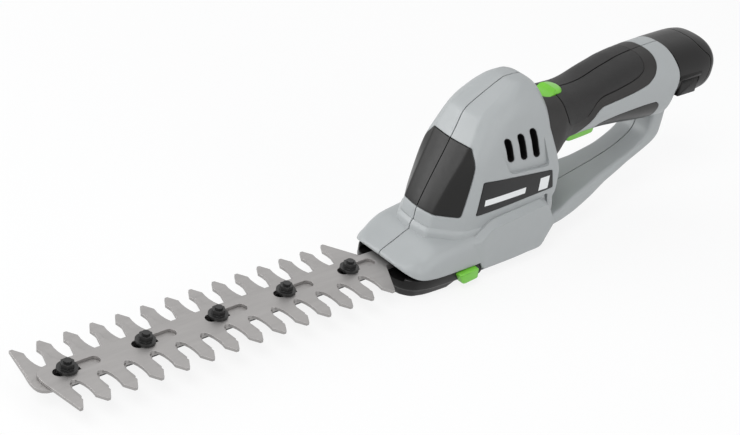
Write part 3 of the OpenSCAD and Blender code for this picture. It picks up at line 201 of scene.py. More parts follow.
def stadium(length: float, width: float, centre: Span) -> Rows:
    """Draws a slot along the first axis with two half-circle ends.

    Args:
        length: Length over the round ends.
        width: Width, which is the diameter of the ends.
        centre: Centre of the slot.

    Returns:
        The closed outline.
    """
    angles = np.linspace(-math.pi / 2, math.pi / 2, END_POINTS)
    arc = np.stack([np.cos(angles), np.sin(angles)], axis=-1) * width / 2
    straight_half = np.array([(length - width) / 2, 0.0])
    return np.concatenate([arc + straight_half, -arc - straight_half]) + np.asarray(centre)


def circle(diameter: float, centre: Span, count: int = 32) -> Rows:
    """Draws a circle.

    Args:
        diameter: Its diameter.
        centre: Its centre.
        count: Number of points.

    Returns:
        The closed outline.
    """
    angle = np.linspace(0, 2 * math.pi, count, endpoint=False)
    return np.stack([np.cos(angle), np.sin(angle)], axis=-1) * diameter / 2 + np.asarray(centre)


def box_corners(low: Sequence[float], high: Sequence[float]) -> list[Span]:
    """Lists the four corners of a flat box, one after the other."""
    return [(low[0], low[1]), (high[0], low[1]), (high[0], high[1]), (low[0], high[1])]


def corner_grid(corners: Sequence[tuple[Rows, Rows]]) -> Rows:
    """Stacks corners, whose coordinates run along the stations, to one outline per station."""
    return np.stack([np.stack(corner, axis=-1) for corner in corners], axis=1)


def rounded_sections(x: Rows, half: Rows, span: tuple[Rows, Rows], squareness: float, around: int) -> Rows:
    """Stacks superellipses along X.

    Each loop has the half width, bottom and top of its station: the coordinates are powers of the
    cosine and the sine of the angle, two divided by the squareness.

    Args:
        x: Place of each station.
        half: Half width of each station.
        span: Bottom and top of each station.
        squareness: Exponent of the superellipse, two being an ellipse.
        around: Points per loop.

    Returns:
        The grid of points.
    """
    angle = np.linspace(0, 2 * math.pi, around, endpoint=False)
    power = 2 / squareness
    across = np.sign(np.cos(angle)) * np.abs(np.cos(angle)) ** power
    upward = np.sign(np.sin(angle)) * np.abs(np.sin(angle)) ** power
    low, high = span
    rows = np.empty((len(x), around, 3))
    rows[..., 0] = x[:, None]
    rows[..., 1] = half[:, None] * across
    rows[..., 2] = ((low + high) / 2)[:, None] + ((high - low) / 2)[:, None] * upward
    return rows


def offset_rows(rows: Rows, distance: float) -> Rows:
    """Moves a surface of stacked loops along its normals.

    The normal is the cross product of the differences around and along the grid, and points away from
    the middle of the loops.

    Args:
        rows: Grid of points, loops first.
        distance: Way outwards, or inwards if below zero.

    Returns:
        The moved grid.
    """
    along = np.gradient(rows, axis=0)
    around = np.roll(rows, -1, axis=1) - np.roll(rows, 1, axis=1)
    normal = np.cross(around, along)
    normal /= np.maximum(np.linalg.norm(normal, axis=-1, keepdims=True), TINY)
    outward = rows - rows.mean(axis=1, keepdims=True)
    return rows + math.copysign(distance, distance * (normal * outward).sum()) * normal


def mesh_piece(name: str, points: Rows, faces: list[list[int]]) -> Piece:
    """Makes an object of a mesh given in millimetres, with its faces outwards.

    Args:
        name: Name of the piece.
        points: Vertices.
        faces: Vertex numbers of each face.

    Returns:
        The linked object, at the origin.
    """
    mesh = bpy.data.meshes.new(name)
    mesh.from_pydata(points * MM, [], faces)
    form = bmesh.new()
    form.from_mesh(mesh)
    bmesh.ops.remove_doubles(form, verts=form.verts, dist=MERGE_M)
    bmesh.ops.recalc_face_normals(form, faces=form.faces)
    form.to_mesh(mesh)
    form.free()
    piece = bpy.data.objects.new(name, mesh)
    bpy.context.scene.collection.objects.link(piece)
    return piece


def loft(name: str, rows: Rows) -> Piece:
    """Skins a stack of closed loops with quads and closes both ends with a flat face.

    Args:
        name: Name of the piece.
        rows: Grid of points, loops first.

    Returns:
        The closed solid.
    """
    count, around = rows.shape[:2]
    index = np.arange(count * around).reshape(count, around)
    low, high = index[:-1], index[1:]
    quads = np.stack([low, np.roll(low, -1, axis=1), np.roll(high, -1, axis=1), high], axis=-1)
    faces = quads.reshape(-1, 4).tolist()
    return mesh_piece(name, rows.reshape(-1, 3), faces + [index[0, ::-1].tolist(), index[-1].tolist()])


def inset_rings(outline: Rows, insets: Rows) -> Rows:
    """Moves a flat closed outline inwards along its normals, once per inset.

    Args:
        outline: Closed outline.
        insets: Way inwards for each ring.

    Returns:
        The rings.
    """
    area = np.cross(outline, np.roll(outline, -1, axis=0)).sum()
    tangent = np.roll(outline, -1, axis=0) - np.roll(outline, 1, axis=0)
    outward = np.stack([tangent[:, 1], -tangent[:, 0]], axis=-1) * math.copysign(1.0, area)
    outward /= np.maximum(np.linalg.norm(outward, axis=-1, keepdims=True), TINY)
    return outline - np.asarray(insets, float)[:, None, None] * outward


def rounded_outline(points: Points, shares: float | Sequence[float], gap: float = 0.0) -> Rows:
    """Rounds the corners of an outline and widens it by a gap on all sides."""
    return inset_rings(rounded_loop(points, shares), np.array([-gap]))[0]


def behind_edge(points: Points, gap: float = 0.0) -> Rows:
    """Outlines the side-view region behind a smooth edge, which starts a gap behind its points.

    Args:
        points: Points of the edge, from below.
        gap: Clearance behind the edge.

    Returns:
        The closed outline.
    """
    edge = spline_rows(np.array(points), LINE_STEPS) + np.array([gap, 0.0])
    far = np.array([[FAR_REAR, edge[-1, 1]], [FAR_REAR, edge[0, 1]]])
    return np.concatenate([edge, far])


def round_levels(low: float, high: float, radius: float, steps: int = 4) -> Rows:
    """Lists the levels of a prism whose two rims are quarter circles.

    Args:
        low: Start of the depth.
        high: End of the depth.
        radius: Radius of both rims.
        steps: Levels per rim.

    Returns:
        Rows of depth and inset.
    """
    angle = np.linspace(math.pi / 2, 0, steps)
    rim = radius * (1 - np.stack([np.sin(angle), np.cos(angle)], axis=-1))
    first = np.stack([low + rim[:, 0], rim[:, 1]], axis=-1)
    last = np.stack([high - rim[::-1, 0], rim[::-1, 1]], axis=-1)
    return np.concatenate([first, last])


def prism(name: str, outline: Rows | Points, plane: Plane, levels: Rows | Points) -> Piece:
    """Carries a flat outline along the third axis, with an inset at each level.

    Args:
        name: Name of the piece.
        outline: Closed outline in the plane.
        plane: The plane of the outline.
        levels: Rows of depth and inset.

    Returns:
        The closed solid.
    """
    levels = np.asarray(levels, float)
    rings = inset_rings(np.asarray(outline, float), levels[:, 1])
    rows = np.empty(rings.shape[:2] + (3,))
    first, second, depth = plane.value
    rows[..., first] = rings[..., 0]
    rows[..., second] = rings[..., 1]
    rows[..., depth] = levels[:, 0, None]
    return loft(name, rows)


def straight(name: str, outline: Rows | Points, plane: Plane, span: Span) -> Piece:
    """Carries a flat outline straight from one depth to another."""
    return prism(name, outline, plane, [(depth, 0.0) for depth in span])


def slab(name: str, span: Span) -> Piece:
    """Makes a slab between two depths that covers the whole side view."""
    return straight(name, SIDE_BOX, Plane.SIDE, span)


def block(name: str, low: Sequence[float], high: Sequence[float], radius: float) -> Piece:
    """Makes a box with rounded upright edges and rims.

    Args:
        name: Name of the piece.
        low: Lowest corner.
        high: Highest corner.
        radius: Radius of the edges.

    Returns:
        The closed solid.
    """
    share = radius / min(high[0] - low[0], high[1] - low[1])
    outline = rounded_loop(box_corners(low, high), share)
    return prism(name, outline, Plane.TOP, round_levels(low[2], high[2], radius))


def discard(piece: Piece) -> None:
    """Removes a helper solid with its mesh."""
    mesh = piece.data
    bpy.data.objects.remove(piece)
    bpy.data.meshes.remove(mesh)


def copy_of(piece: Piece, name: str) -> Piece:
    """Copies a solid with a mesh of its own."""
    twin = bpy.data.objects.new(name, piece.data.copy())
    bpy.context.scene.collection.objects.link(twin)
    return twin


def combine(base: Piece, tool: Piece, joining: Joining, spare: bool = False) -> Piece:
    """Combines two closed solids and keeps the result in the first.

    Args:
        base: Solid that is changed.
        tool: Solid that is joined, cut away or kept.
        joining: The way to combine.
        spare: Whether the tool is used again.

    Returns:
        The changed solid.
    """
    step = base.modifiers.new("combine", "BOOLEAN")
    step.operation = joining.value
    step.solver = "MANIFOLD"
    step.object = tool
    graph = bpy.context.evaluated_depsgraph_get()
    result = bpy.data.meshes.new_from_object(base.evaluated_get(graph))
    base.modifiers.clear()
    old = base.data
    base.data = result
    bpy.data.meshes.remove(old)
    if len(result.vertices) == 0:
        LOG.warning("%s is empty after %s with %s", base.name, joining.name, tool.name)
    if not spare:
        discard(tool)
    return base


def cut(base: Piece, *tools: Piece, spare: bool = False) -> Piece:
    """Cuts solids away from another one.

    Args:
        base: Solid that is changed.
        tools: Solids that are cut away, in this order.
        spare: Whether the tools are used again.

    Returns:
        The changed solid.
    """
    for tool in tools:
        combine(base, tool, Joining.CUT, spare)
    return base


def join(base: Piece, *parts: Piece) -> Piece:
    """Joins solids to another one.

    Args:
        base: Solid that is changed.
        parts: Solids that are joined to it, in this order.

    Returns:
        The changed solid.
    """
    for part in parts:
        combine(base, part, Joining.JOIN)
    return base


def layer(name: str, outer: Rows, inner: Rows, outline: Rows, span: Span) -> Piece:
    """Cuts the layer between two stacks of loops to a side-view outline.

    Args:
        name: Name of the piece.
        outer: Grid of the outer face.
        inner: Grid of the inner face.
        outline: Side-view outline.
        span: Range of Y.

    Returns:
        The layer.
    """
    shell = cut(loft(name, outer), loft("inner", inner))
    return combine(shell, straight("side", outline, Plane.SIDE, span), Joining.KEEP)


@dataclass(frozen=True)
class Finish:
    """A moulded or machined finish: mottled colour, uneven roughness and a fine grain."""

    name: str
    color: tuple[float, float, float]
    roughness: float
    metallic: float = 0.0
    mottle: float = 0.04
    mottle_mm: float = 9.0
    grain_mm: float = 0.45
    grain_depth_mm: float = 0.03
    stretch: tuple[float, float, float] = (1.0, 1.0, 1.0)
    rounding_mm: float = 0.0
    specular: float = 0.5
    mottle_detail: float = 2.0
    grain_detail: float = 3.0
    grain_strength: float = 0.6
    uneven_by: float = 0.07
    uneven_finer: float = 3.0
    least_roughness: float = 0.05
    edge_samples: int = 4

    def tint(self, share: float) -> Color:
        """Gives the colour, lighter or darker by a share."""
        return tuple(min(1.0, c * (1 + share)) for c in self.color) + (1.0,)

    def coordinates(self, tree: bpy.types.NodeTree) -> bpy.types.NodeSocket:
        """Adds the object's coordinates, stretched for grain that runs one way.

        Args:
            tree: The material's nodes.

        Returns:
            The socket with the coordinates.
        """
        place = tree.nodes.new("ShaderNodeTexCoord")
        mapping = tree.nodes.new("ShaderNodeMapping")
        mapping.inputs["Scale"].default_value = self.stretch
        tree.links.new(place.outputs["Object"], mapping.inputs["Vector"])
        return mapping.outputs["Vector"]

    def noise(self, tree: bpy.types.NodeTree, size_mm: float, detail: float) -> bpy.types.NodeSocket:
        """Adds a noise pattern of a given feature size.

        Args:
            tree: The material's nodes.
            size_mm: Size of the features.
            detail: Number of finer layers.

        Returns:
            The socket with the noise.
        """
        pattern = tree.nodes.new("ShaderNodeTexNoise")
        pattern.inputs["Scale"].default_value = PER_METRE / size_mm
        pattern.inputs["Detail"].default_value = detail
        tree.links.new(self.coordinates(tree), pattern.inputs["Vector"])
        return pattern.outputs["Fac"]

    def paint(self, tree: bpy.types.NodeTree) -> bpy.types.NodeSocket:
        """Mixes a darker and a lighter tint by the mottling.

        Args:
            tree: The material's nodes.

        Returns:
            The colour socket.
        """
        mix = tree.nodes.new("ShaderNodeMix")
        mix.data_type = "RGBA"
        mix.inputs[MIX_BELOW].default_value = self.tint(-self.mottle)
        mix.inputs[MIX_ABOVE].default_value = self.tint(self.mottle)
        tree.links.new(self.noise(tree, self.mottle_mm, self.mottle_detail), mix.inputs[MIX_SHARE])
        return mix.outputs[MIX_RESULT]

    def height(self, tree: bpy.types.NodeTree) -> bpy.types.NodeSocket:
        """Gives the height of the fine grain."""
        return self.noise(tree, self.grain_mm, self.grain_detail)

    def material(self) -> bpy.types.Material:
        """Builds the material.

        Returns:
            The material, with colour, roughness and bump from its nodes.
        """
        made = bpy.data.materials.new(self.name)
        made.use_nodes = True
        tree = made.node_tree
        shader = tree.nodes["Principled BSDF"]
        shader.inputs["Metallic"].default_value = self.metallic
        shader.inputs["Specular IOR Level"].default_value = self.specular
        tree.links.new(self.paint(tree), shader.inputs["Base Color"])
        uneven = tree.nodes.new("ShaderNodeMapRange")
        uneven.inputs["To Min"].default_value = max(self.least_roughness, self.roughness - self.uneven_by)
        uneven.inputs["To Max"].default_value = min(1.0, self.roughness + self.uneven_by)
        finer = self.noise(tree, self.mottle_mm / self.uneven_finer, self.mottle_detail)
        tree.links.new(finer, uneven.inputs["Value"])
        tree.links.new(uneven.outputs["Result"], shader.inputs["Roughness"])
        bump = tree.nodes.new("ShaderNodeBump")
        bump.inputs["Strength"].default_value = self.grain_strength
        bump.inputs["Distance"].default_value = self.grain_depth_mm * MM
        tree.links.new(self.height(tree), bump.inputs["Height"])
        if self.rounding_mm > 0:
            edge = tree.nodes.new("ShaderNodeBevel")
            edge.samples = self.edge_samples
            edge.inputs["Radius"].default_value = self.rounding_mm * MM
            tree.links.new(edge.outputs["Normal"], bump.inputs["Normal"])
        tree.links.new(bump.outputs["Normal"], shader.inputs["Normal"])
        return made


@dataclass(frozen=True)
class StippleFinish(Finish):
    """Rubber with a fine field of raised dots."""

    dot_mm: float = 1.1
    dot_scatter: float = 0.35
    dot_reach: float = 0.6

    def height(self, tree: bpy.types.NodeTree) -> bpy.types.NodeSocket:
        """Gives the height of the dots: near one at each dot's middle and falling to its rim.

        Args:
            tree: The material's nodes.

        Returns:
            The height socket.
        """
        dots = tree.nodes.new("ShaderNodeTexVoronoi")
        dots.inputs["Scale"].default_value = PER_METRE / self.dot_mm
        dots.inputs["Randomness"].default_value = self.dot_scatter
        tree.links.new(self.coordinates(tree), dots.inputs["Vector"])
        fall = tree.nodes.new("ShaderNodeMapRange")
        fall.inputs["From Max"].default_value = self.dot_reach
        fall.inputs["To Min"].default_value = 1.0
        fall.inputs["To Max"].default_value = 0.0
        tree.links.new(dots.outputs["Distance"], fall.inputs["Value"])
        return fall.outputs["Result"]


@dataclass(frozen=True)
class LabelFinish(Finish):
    """Dark printed film with blank pale fields."""

    fields: tuple[tuple[float, float, float, float], ...] = ()
    ink: tuple[float, float, float] = (0.75, 0.76, 0.76)

    def inside(self, tree: bpy.types.NodeTree, socket: bpy.types.NodeSocket, low: float,
               high: float) -> bpy.types.NodeSocket:
        """Marks where a coordinate lies between two limits.

        Args:
            tree: The material's nodes.
            socket: The coordinate, in metres.
            low: Lower limit in millimetres.
            high: Upper limit in millimetres.

        Returns:
            A socket that is one inside and zero outside.
        """
        compare = tree.nodes.new("ShaderNodeMath")
        compare.operation = "COMPARE"
        compare.inputs[1].default_value = (low + high) / 2 * MM
        compare.inputs[2].default_value = (high - low) / 2 * MM
        tree.links.new(socket, compare.inputs[0])
        return compare.outputs[0]

    def paint(self, tree: bpy.types.NodeTree) -> bpy.types.NodeSocket:
        """Lays the pale fields over the mottled film.

        Args:
            tree: The material's nodes.

        Returns:
            The colour socket.
        """
        color = super().paint(tree)
        place = tree.nodes.new("ShaderNodeTexCoord")
        split = tree.nodes.new("ShaderNodeSeparateXYZ")
        tree.links.new(place.outputs["Object"], split.inputs["Vector"])
        for x_low, z_low, x_high, z_high in self.fields:
            both = tree.nodes.new("ShaderNodeMath")
            both.operation = "MULTIPLY"
            tree.links.new(self.inside(tree, split.outputs["X"], x_low, x_high), both.inputs[0])
            tree.links.new(self.inside(tree, split.outputs["Z"], z_low, z_high), both.inputs[1])
            lay = tree.nodes.new("ShaderNodeMix")
            lay.data_type = "RGBA"
            lay.inputs[MIX_ABOVE].default_value = self.ink + (1.0,)
            tree.links.new(both.outputs[0], lay.inputs[MIX_SHARE])
            tree.links.new(color, lay.inputs[MIX_BELOW])
            color = lay.outputs[MIX_RESULT]
        return color


FINISHES: dict[str, Finish] = {finish.name: finish for finish in (
    Finish("grey_plastic", (0.345, 0.362, 0.366), 0.44, mottle=0.025, grain_depth_mm=0.035, rounding_mm=0.7),
    Finish("dark_plastic", (0.013, 0.0128, 0.0125), 0.32, grain_depth_mm=0.012, rounding_mm=0.3,
           specular=0.22),
    Finish("black_plastic", (0.009, 0.0085, 0.0085), 0.34, mottle=0.08, grain_depth_mm=0.02, rounding_mm=0.6,
           specular=0.19),
    Finish("green_plastic", (0.16, 0.52, 0.035), 0.34, mottle=0.05, grain_depth_mm=0.015, rounding_mm=0.8),
    Finish("soft_grip", (0.020, 0.019, 0.0185), 0.5, mottle=0.12, mottle_mm=5.0, grain_depth_mm=0.03,
           rounding_mm=0.4, specular=0.26),
    StippleFinish("pad_rubber", (0.017, 0.0165, 0.0165), 0.55, mottle=0.15, mottle_mm=4.0,
                  grain_depth_mm=0.09, rounding_mm=0.3, specular=0.26),
    LabelFinish("label_film", (0.012, 0.012, 0.0125), 0.4, grain_depth_mm=0.008, specular=0.25,
                fields=((40.3, 46.8, 48.0, 54.8), (-3.6, 48.4, 28.8, 52.2))),
    Finish("blade_steel", (0.34, 0.33, 0.325), 0.42, metallic=0.85, mottle=0.1, mottle_mm=3.5, grain_mm=0.5,
           grain_depth_mm=0.012, stretch=(0.12, 1.0, 1.0), rounding_mm=0.3),
    Finish("black_steel", (0.018, 0.018, 0.018), 0.34, metallic=0.3, mottle=0.15, mottle_mm=2.5, grain_mm=0.3,
           grain_depth_mm=0.03, rounding_mm=0.3),
    Finish("bright_steel", (0.56, 0.56, 0.56), 0.28, metallic=1.0, mottle=0.06, mottle_mm=3.0, grain_mm=0.3,
           grain_depth_mm=0.01, stretch=(1.0, 1.0, 0.1)),
    Finish("motor_steel", (0.46, 0.46, 0.47), 0.35, metallic=1.0, mottle=0.08, mottle_mm=4.0, grain_mm=0.4,
           grain_depth_mm=0.012, stretch=(1.0, 1.0, 0.1)),
    Finish("ferrite", (0.035, 0.034, 0.034), 0.7, mottle=0.2, mottle_mm=2.0, grain_depth_mm=0.05),
    Finish("copper", (0.60, 0.25, 0.12), 0.32, metallic=1.0, mottle=0.12, mottle_mm=2.0, grain_mm=0.5,
           grain_depth_mm=0.03, stretch=(1.0, 1.0, 4.0)),
    Finish("bronze", (0.42, 0.27, 0.11), 0.45, metallic=1.0, mottle=0.12, mottle_mm=1.5, grain_mm=0.25,
           grain_depth_mm=0.03),
    Finish("board", (0.02, 0.12, 0.045), 0.35, mottle=0.2, mottle_mm=3.0, grain_mm=1.2, grain_depth_mm=0.02),
    Finish("red_wire", (0.42, 0.02, 0.02), 0.4, mottle=0.08, mottle_mm=3.0, grain_depth_mm=0.01),
    Finish("black_wire", (0.016, 0.016, 0.016), 0.42, mottle=0.1, mottle_mm=3.0, grain_depth_mm=0.01),
    Finish("cell_sleeve", (0.03, 0.16, 0.32), 0.3, mottle=0.08, mottle_mm=5.0, grain_depth_mm=0.01),
)}


class Workshop:
    """Keeps the built materials and finishes each piece in the same way."""

    def __init__(self) -> None:
        """Builds every finish once."""
        self.materials = {slot: finish.material() for slot, finish in FINISHES.items()}

    def settle(self, piece: Piece, body: str, slot: str, nodes: Sequence[str] = (),
               crease: float = 32.0) -> Piece:
        """Shades, dresses and seats a finished piece.

        Args:
            piece: The piece.
            body: CAD body that carries it.
            slot: Material slot of the record.
            nodes: CAD nodes that it stands for.
            crease: Angle above which an edge stays sharp, in degrees.

        Returns:
            The piece.
        """
        mesh = piece.data
        mesh.polygons.foreach_set("use_smooth", np.ones(len(mesh.polygons), bool))
        mesh.set_sharp_from_angle(angle=math.radians(crease))
        mesh.materials.clear()
        mesh.materials.append(self.materials[slot])
        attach(piece, body)
        if nodes:
            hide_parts(*nodes)
        LOG.info("%s rides on %s, %d faces", piece.name, body, len(mesh.polygons))
        return piece

    def dress_nodes(self) -> None:
        """Gives every CAD node the finish of its material slot."""
        for part in frame["record"]["subparts"]:
            node = frame["nodes"].get(part["node"])
            if node is not None:
                node.data.materials.clear()
                node.data.materials.append(self.materials[part["material_slot"]])


@dataclass
class BodyFrame:
    """Overall lengths of the body that the outlines are shares of."""

    nose_x: float = -53.5
    length: float = 113.5
    height: float = 112.5
    half_width: float = 28.5
    reach: float = 163.0

    def x(self, share: Rows) -> Rows:
        """Gives the place along the body of a share of its length."""
        return self.nose_x + self.length * share

    def far_x(self, share: Rows) -> Rows:
        """Gives the place along the handle of a share of its reach."""
        return self.reach * share


# Shares of height, then of length and half width: front, crease (2), corner (2), side (2), rear.
DOME_SHARES = np.array([
    [0.195, 0.180, 0.196, 0.40, 0.305, 0.735, 0.400, 0.815, 0.980],
    [0.335, 0.192, 0.209, 0.40, 0.311, 0.732, 0.400, 0.828, 0.986],
    [0.389, 0.197, 0.215, 0.40, 0.313, 0.730, 0.400, 0.872, 0.988],
    [0.542, 0.257, 0.274, 0.43, 0.332, 0.715, 0.410, 0.842, 0.980],
    [0.658, 0.308, 0.326, 0.46, 0.356, 0.690, 0.437, 0.800, 0.948],
    [0.732, 0.338, 0.353, 0.47, 0.386, 0.640, 0.459, 0.765, 0.925],
    [0.800, 0.365, 0.380, 0.44, 0.413, 0.588, 0.492, 0.728, 0.895],
    [0.852, 0.382, 0.398, 0.40, 0.442, 0.545, 0.522, 0.694, 0.868],
    [0.885, 0.412, 0.430, 0.36, 0.476, 0.510, 0.556, 0.655, 0.846],
    [0.930, 0.494, 0.512, 0.32, 0.545, 0.450, 0.600, 0.575, 0.815],
    [0.968, 0.570, 0.585, 0.27, 0.606, 0.375, 0.640, 0.460, 0.785],
    [0.992, 0.628, 0.636, 0.19, 0.650, 0.255, 0.672, 0.310, 0.746],
])
# Shares of length, half width, and height of the top and the skirt.
NOSE_SHARES = np.array([
    [0.000, 0.47, 0.176, 0.168],
    [0.006, 0.54, 0.187, 0.160],
    [0.020, 0.69, 0.194, 0.149],
    [0.053, 0.83, 0.208, 0.130],
    [0.101, 0.91, 0.228, 0.116],
    [0.181, 0.96, 0.262, 0.111],
    [0.300, 0.98, 0.279, 0.111],
    [0.400, 0.985, 0.290, 0.111],
    [0.506, 0.985, 0.300, 0.111],
])
# Shares of length, half width, height of top, skirt and bottom, and of the foot's half width.
BASE_SHARES = np.array([
    [0.511, 0.965, 0.316, 0.062, 0.000, 0.70],
    [0.738, 0.955, 0.336, 0.060, 0.000, 0.70],
    [0.895, 0.925, 0.348, 0.062, 0.000, 0.68],
    [0.965, 0.905, 0.352, 0.072, 0.012, 0.63],
    [0.995, 0.845, 0.352, 0.085, 0.036, 0.58],
])
# Shares of reach, of the handle's half width, and of height for its bottom and top.
HANDLE_SHARES = np.array([
    [0.255, 0.980, 0.440, 0.845],
    [0.310, 0.980, 0.445, 0.845],
    [0.355, 0.960, 0.465, 0.845],
    [0.390, 0.895, 0.522, 0.843],
    [0.424, 0.850, 0.563, 0.842],
    [0.480, 0.840, 0.575, 0.842],
    [0.540, 0.860, 0.580, 0.853],
    [0.614, 0.885, 0.577, 0.886],
    [0.675, 0.910, 0.570, 0.909],
    [0.724, 0.930, 0.563, 0.926],
    [0.834, 0.970, 0.545, 0.945],
    [0.950, 1.000, 0.535, 0.952],
    [1.000, 1.000, 0.538, 0.952],
    [1.060, 1.000, 0.540, 0.952],
])
# Place along X, share of the battery's half width, rise of its bottom and drop of its top.
BATTERY_STATIONS = np.array([
    [118.0, 0.930, 0.6, 0.8],
    [150.0, 0.968, 0.5, 0.7],
    [163.0, 0.985, 0.3, 0.5],
    [180.0, 0.995, 0.2, 0.3],
    [188.5, 0.980, 0.8, 1.0],
    [191.5, 0.950, 1.8, 2.0],
    [193.7, 0.895, 3.4, 3.8],
    [195.1, 0.790, 6.4, 6.6],
    [195.5, 0.650, 10.0, 10.0],
])


@dataclass
class HandleForm:
    """The handle's rounded form, shared by the housing, the grip and the pads."""

    body: BodyFrame
    half_width: float = 21.0
    squareness: float = 2.45
    around: int = 96

    def rows(self) -> Rows:
        """Stacks superellipses along the handle's smooth stations.

        Returns:
            The grid of points.
        """
        table = spline_rows(HANDLE_SHARES, LOFT_STEPS)
        span = (self.body.height * table[:, 2], self.body.height * table[:, 3])
        return rounded_sections(self.body.far_x(table[:, 0]), self.half_width * table[:, 1], span,
                                self.squareness, self.around)

    def skin(self, name: str, outer: float, inner: float, outline: Rows) -> Piece:
        """Cuts a layer of the handle's surface to a side-view outline.

        Args:
            name: Name of the piece.
            outer: Way of its outer face from the handle's surface.
            inner: Way of its inner face from the handle's surface.
            outline: Side-view outline.

        Returns:
            The layer.
        """
        reach = self.half_width + OVERRUN
        rows = self.rows()
        return layer(name, offset_rows(rows, outer), offset_rows(rows, inner), outline, (-reach, reach))


@dataclass
class DomeForm:
    """The dome's form, shared by the housing, the front panels and the label."""

    body: BodyFrame
    corner: Span = (0.10, 0.40)
    corner_levels: Span = (0.50, 0.74)
    round_shares: tuple[float, ...] = (0.5, 0.10, 0.22, 0.42, 0.12, 0.42, 0.42, 0.12, 0.42, 0.22, 0.10)
    smoothings: int = 10
    crown_share: float = 0.4
    crown_rise: float = 0.25

    def rows(self, closed_top: bool = True) -> Rows:
        """Stacks rounded eleven-cornered outlines from the foot to the top.

        Args:
            closed_top: Whether a last, smaller loop rounds the top.

        Returns:
            The grid of points.
        """
        body = self.body
        table = smoothed(spline_rows(DOME_SHARES, LOFT_STEPS), self.smoothings)
        height = body.height * table[:, 0]
        front, crease_x, corner_x, side_x, rear_x = (body.x(table[:, c]) for c in (1, 2, 4, 6, 8))
        crease, corner, side = (body.half_width * table[:, c] for c in (3, 5, 7))
        bevel = side * np.interp(table[:, 0], self.corner_levels, self.corner)
        half = [(crease_x, crease), (corner_x, corner), (side_x, side), (rear_x - bevel, side),
                (rear_x, side - bevel)]
        ring = [(front, np.zeros_like(front))] + [(x, -y) for x, y in half] + half[::-1]
        loops = rounded_loop(corner_grid(ring), self.round_shares)
        levels = np.broadcast_to(height[:, None, None], loops.shape[:2] + (1,))
        rows = np.concatenate([loops, levels], axis=-1)
        if closed_top:
            middle = rows[-1].mean(axis=0)
            crown = middle + (rows[-1] - middle) * self.crown_share
            crown[:, 2] += self.crown_rise
            rows = np.concatenate([rows, crown[None]])
        return rows

    def skin(self, name: str, outer: float, inner: float, outline: Rows, side: Side | None = None) -> Piece:
        """Cuts a layer of the dome's surface to a side-view outline.

        Args:
            name: Name of the piece.
            outer: Way of its outer face from the dome's surface.
            inner: Way of its inner face from the dome's surface.
            outline: Side-view outline.
            side: Side of the tool, or both.

        Returns:
            The layer.
        """
        reach = self.body.half_width + OVERRUN
        span = side.span(0.0, reach) if side else (-reach, reach)
        room = offset_rows(self.rows(closed_top=False), inner)
        return layer(name, offset_rows(self.rows(), outer), room, outline, span)


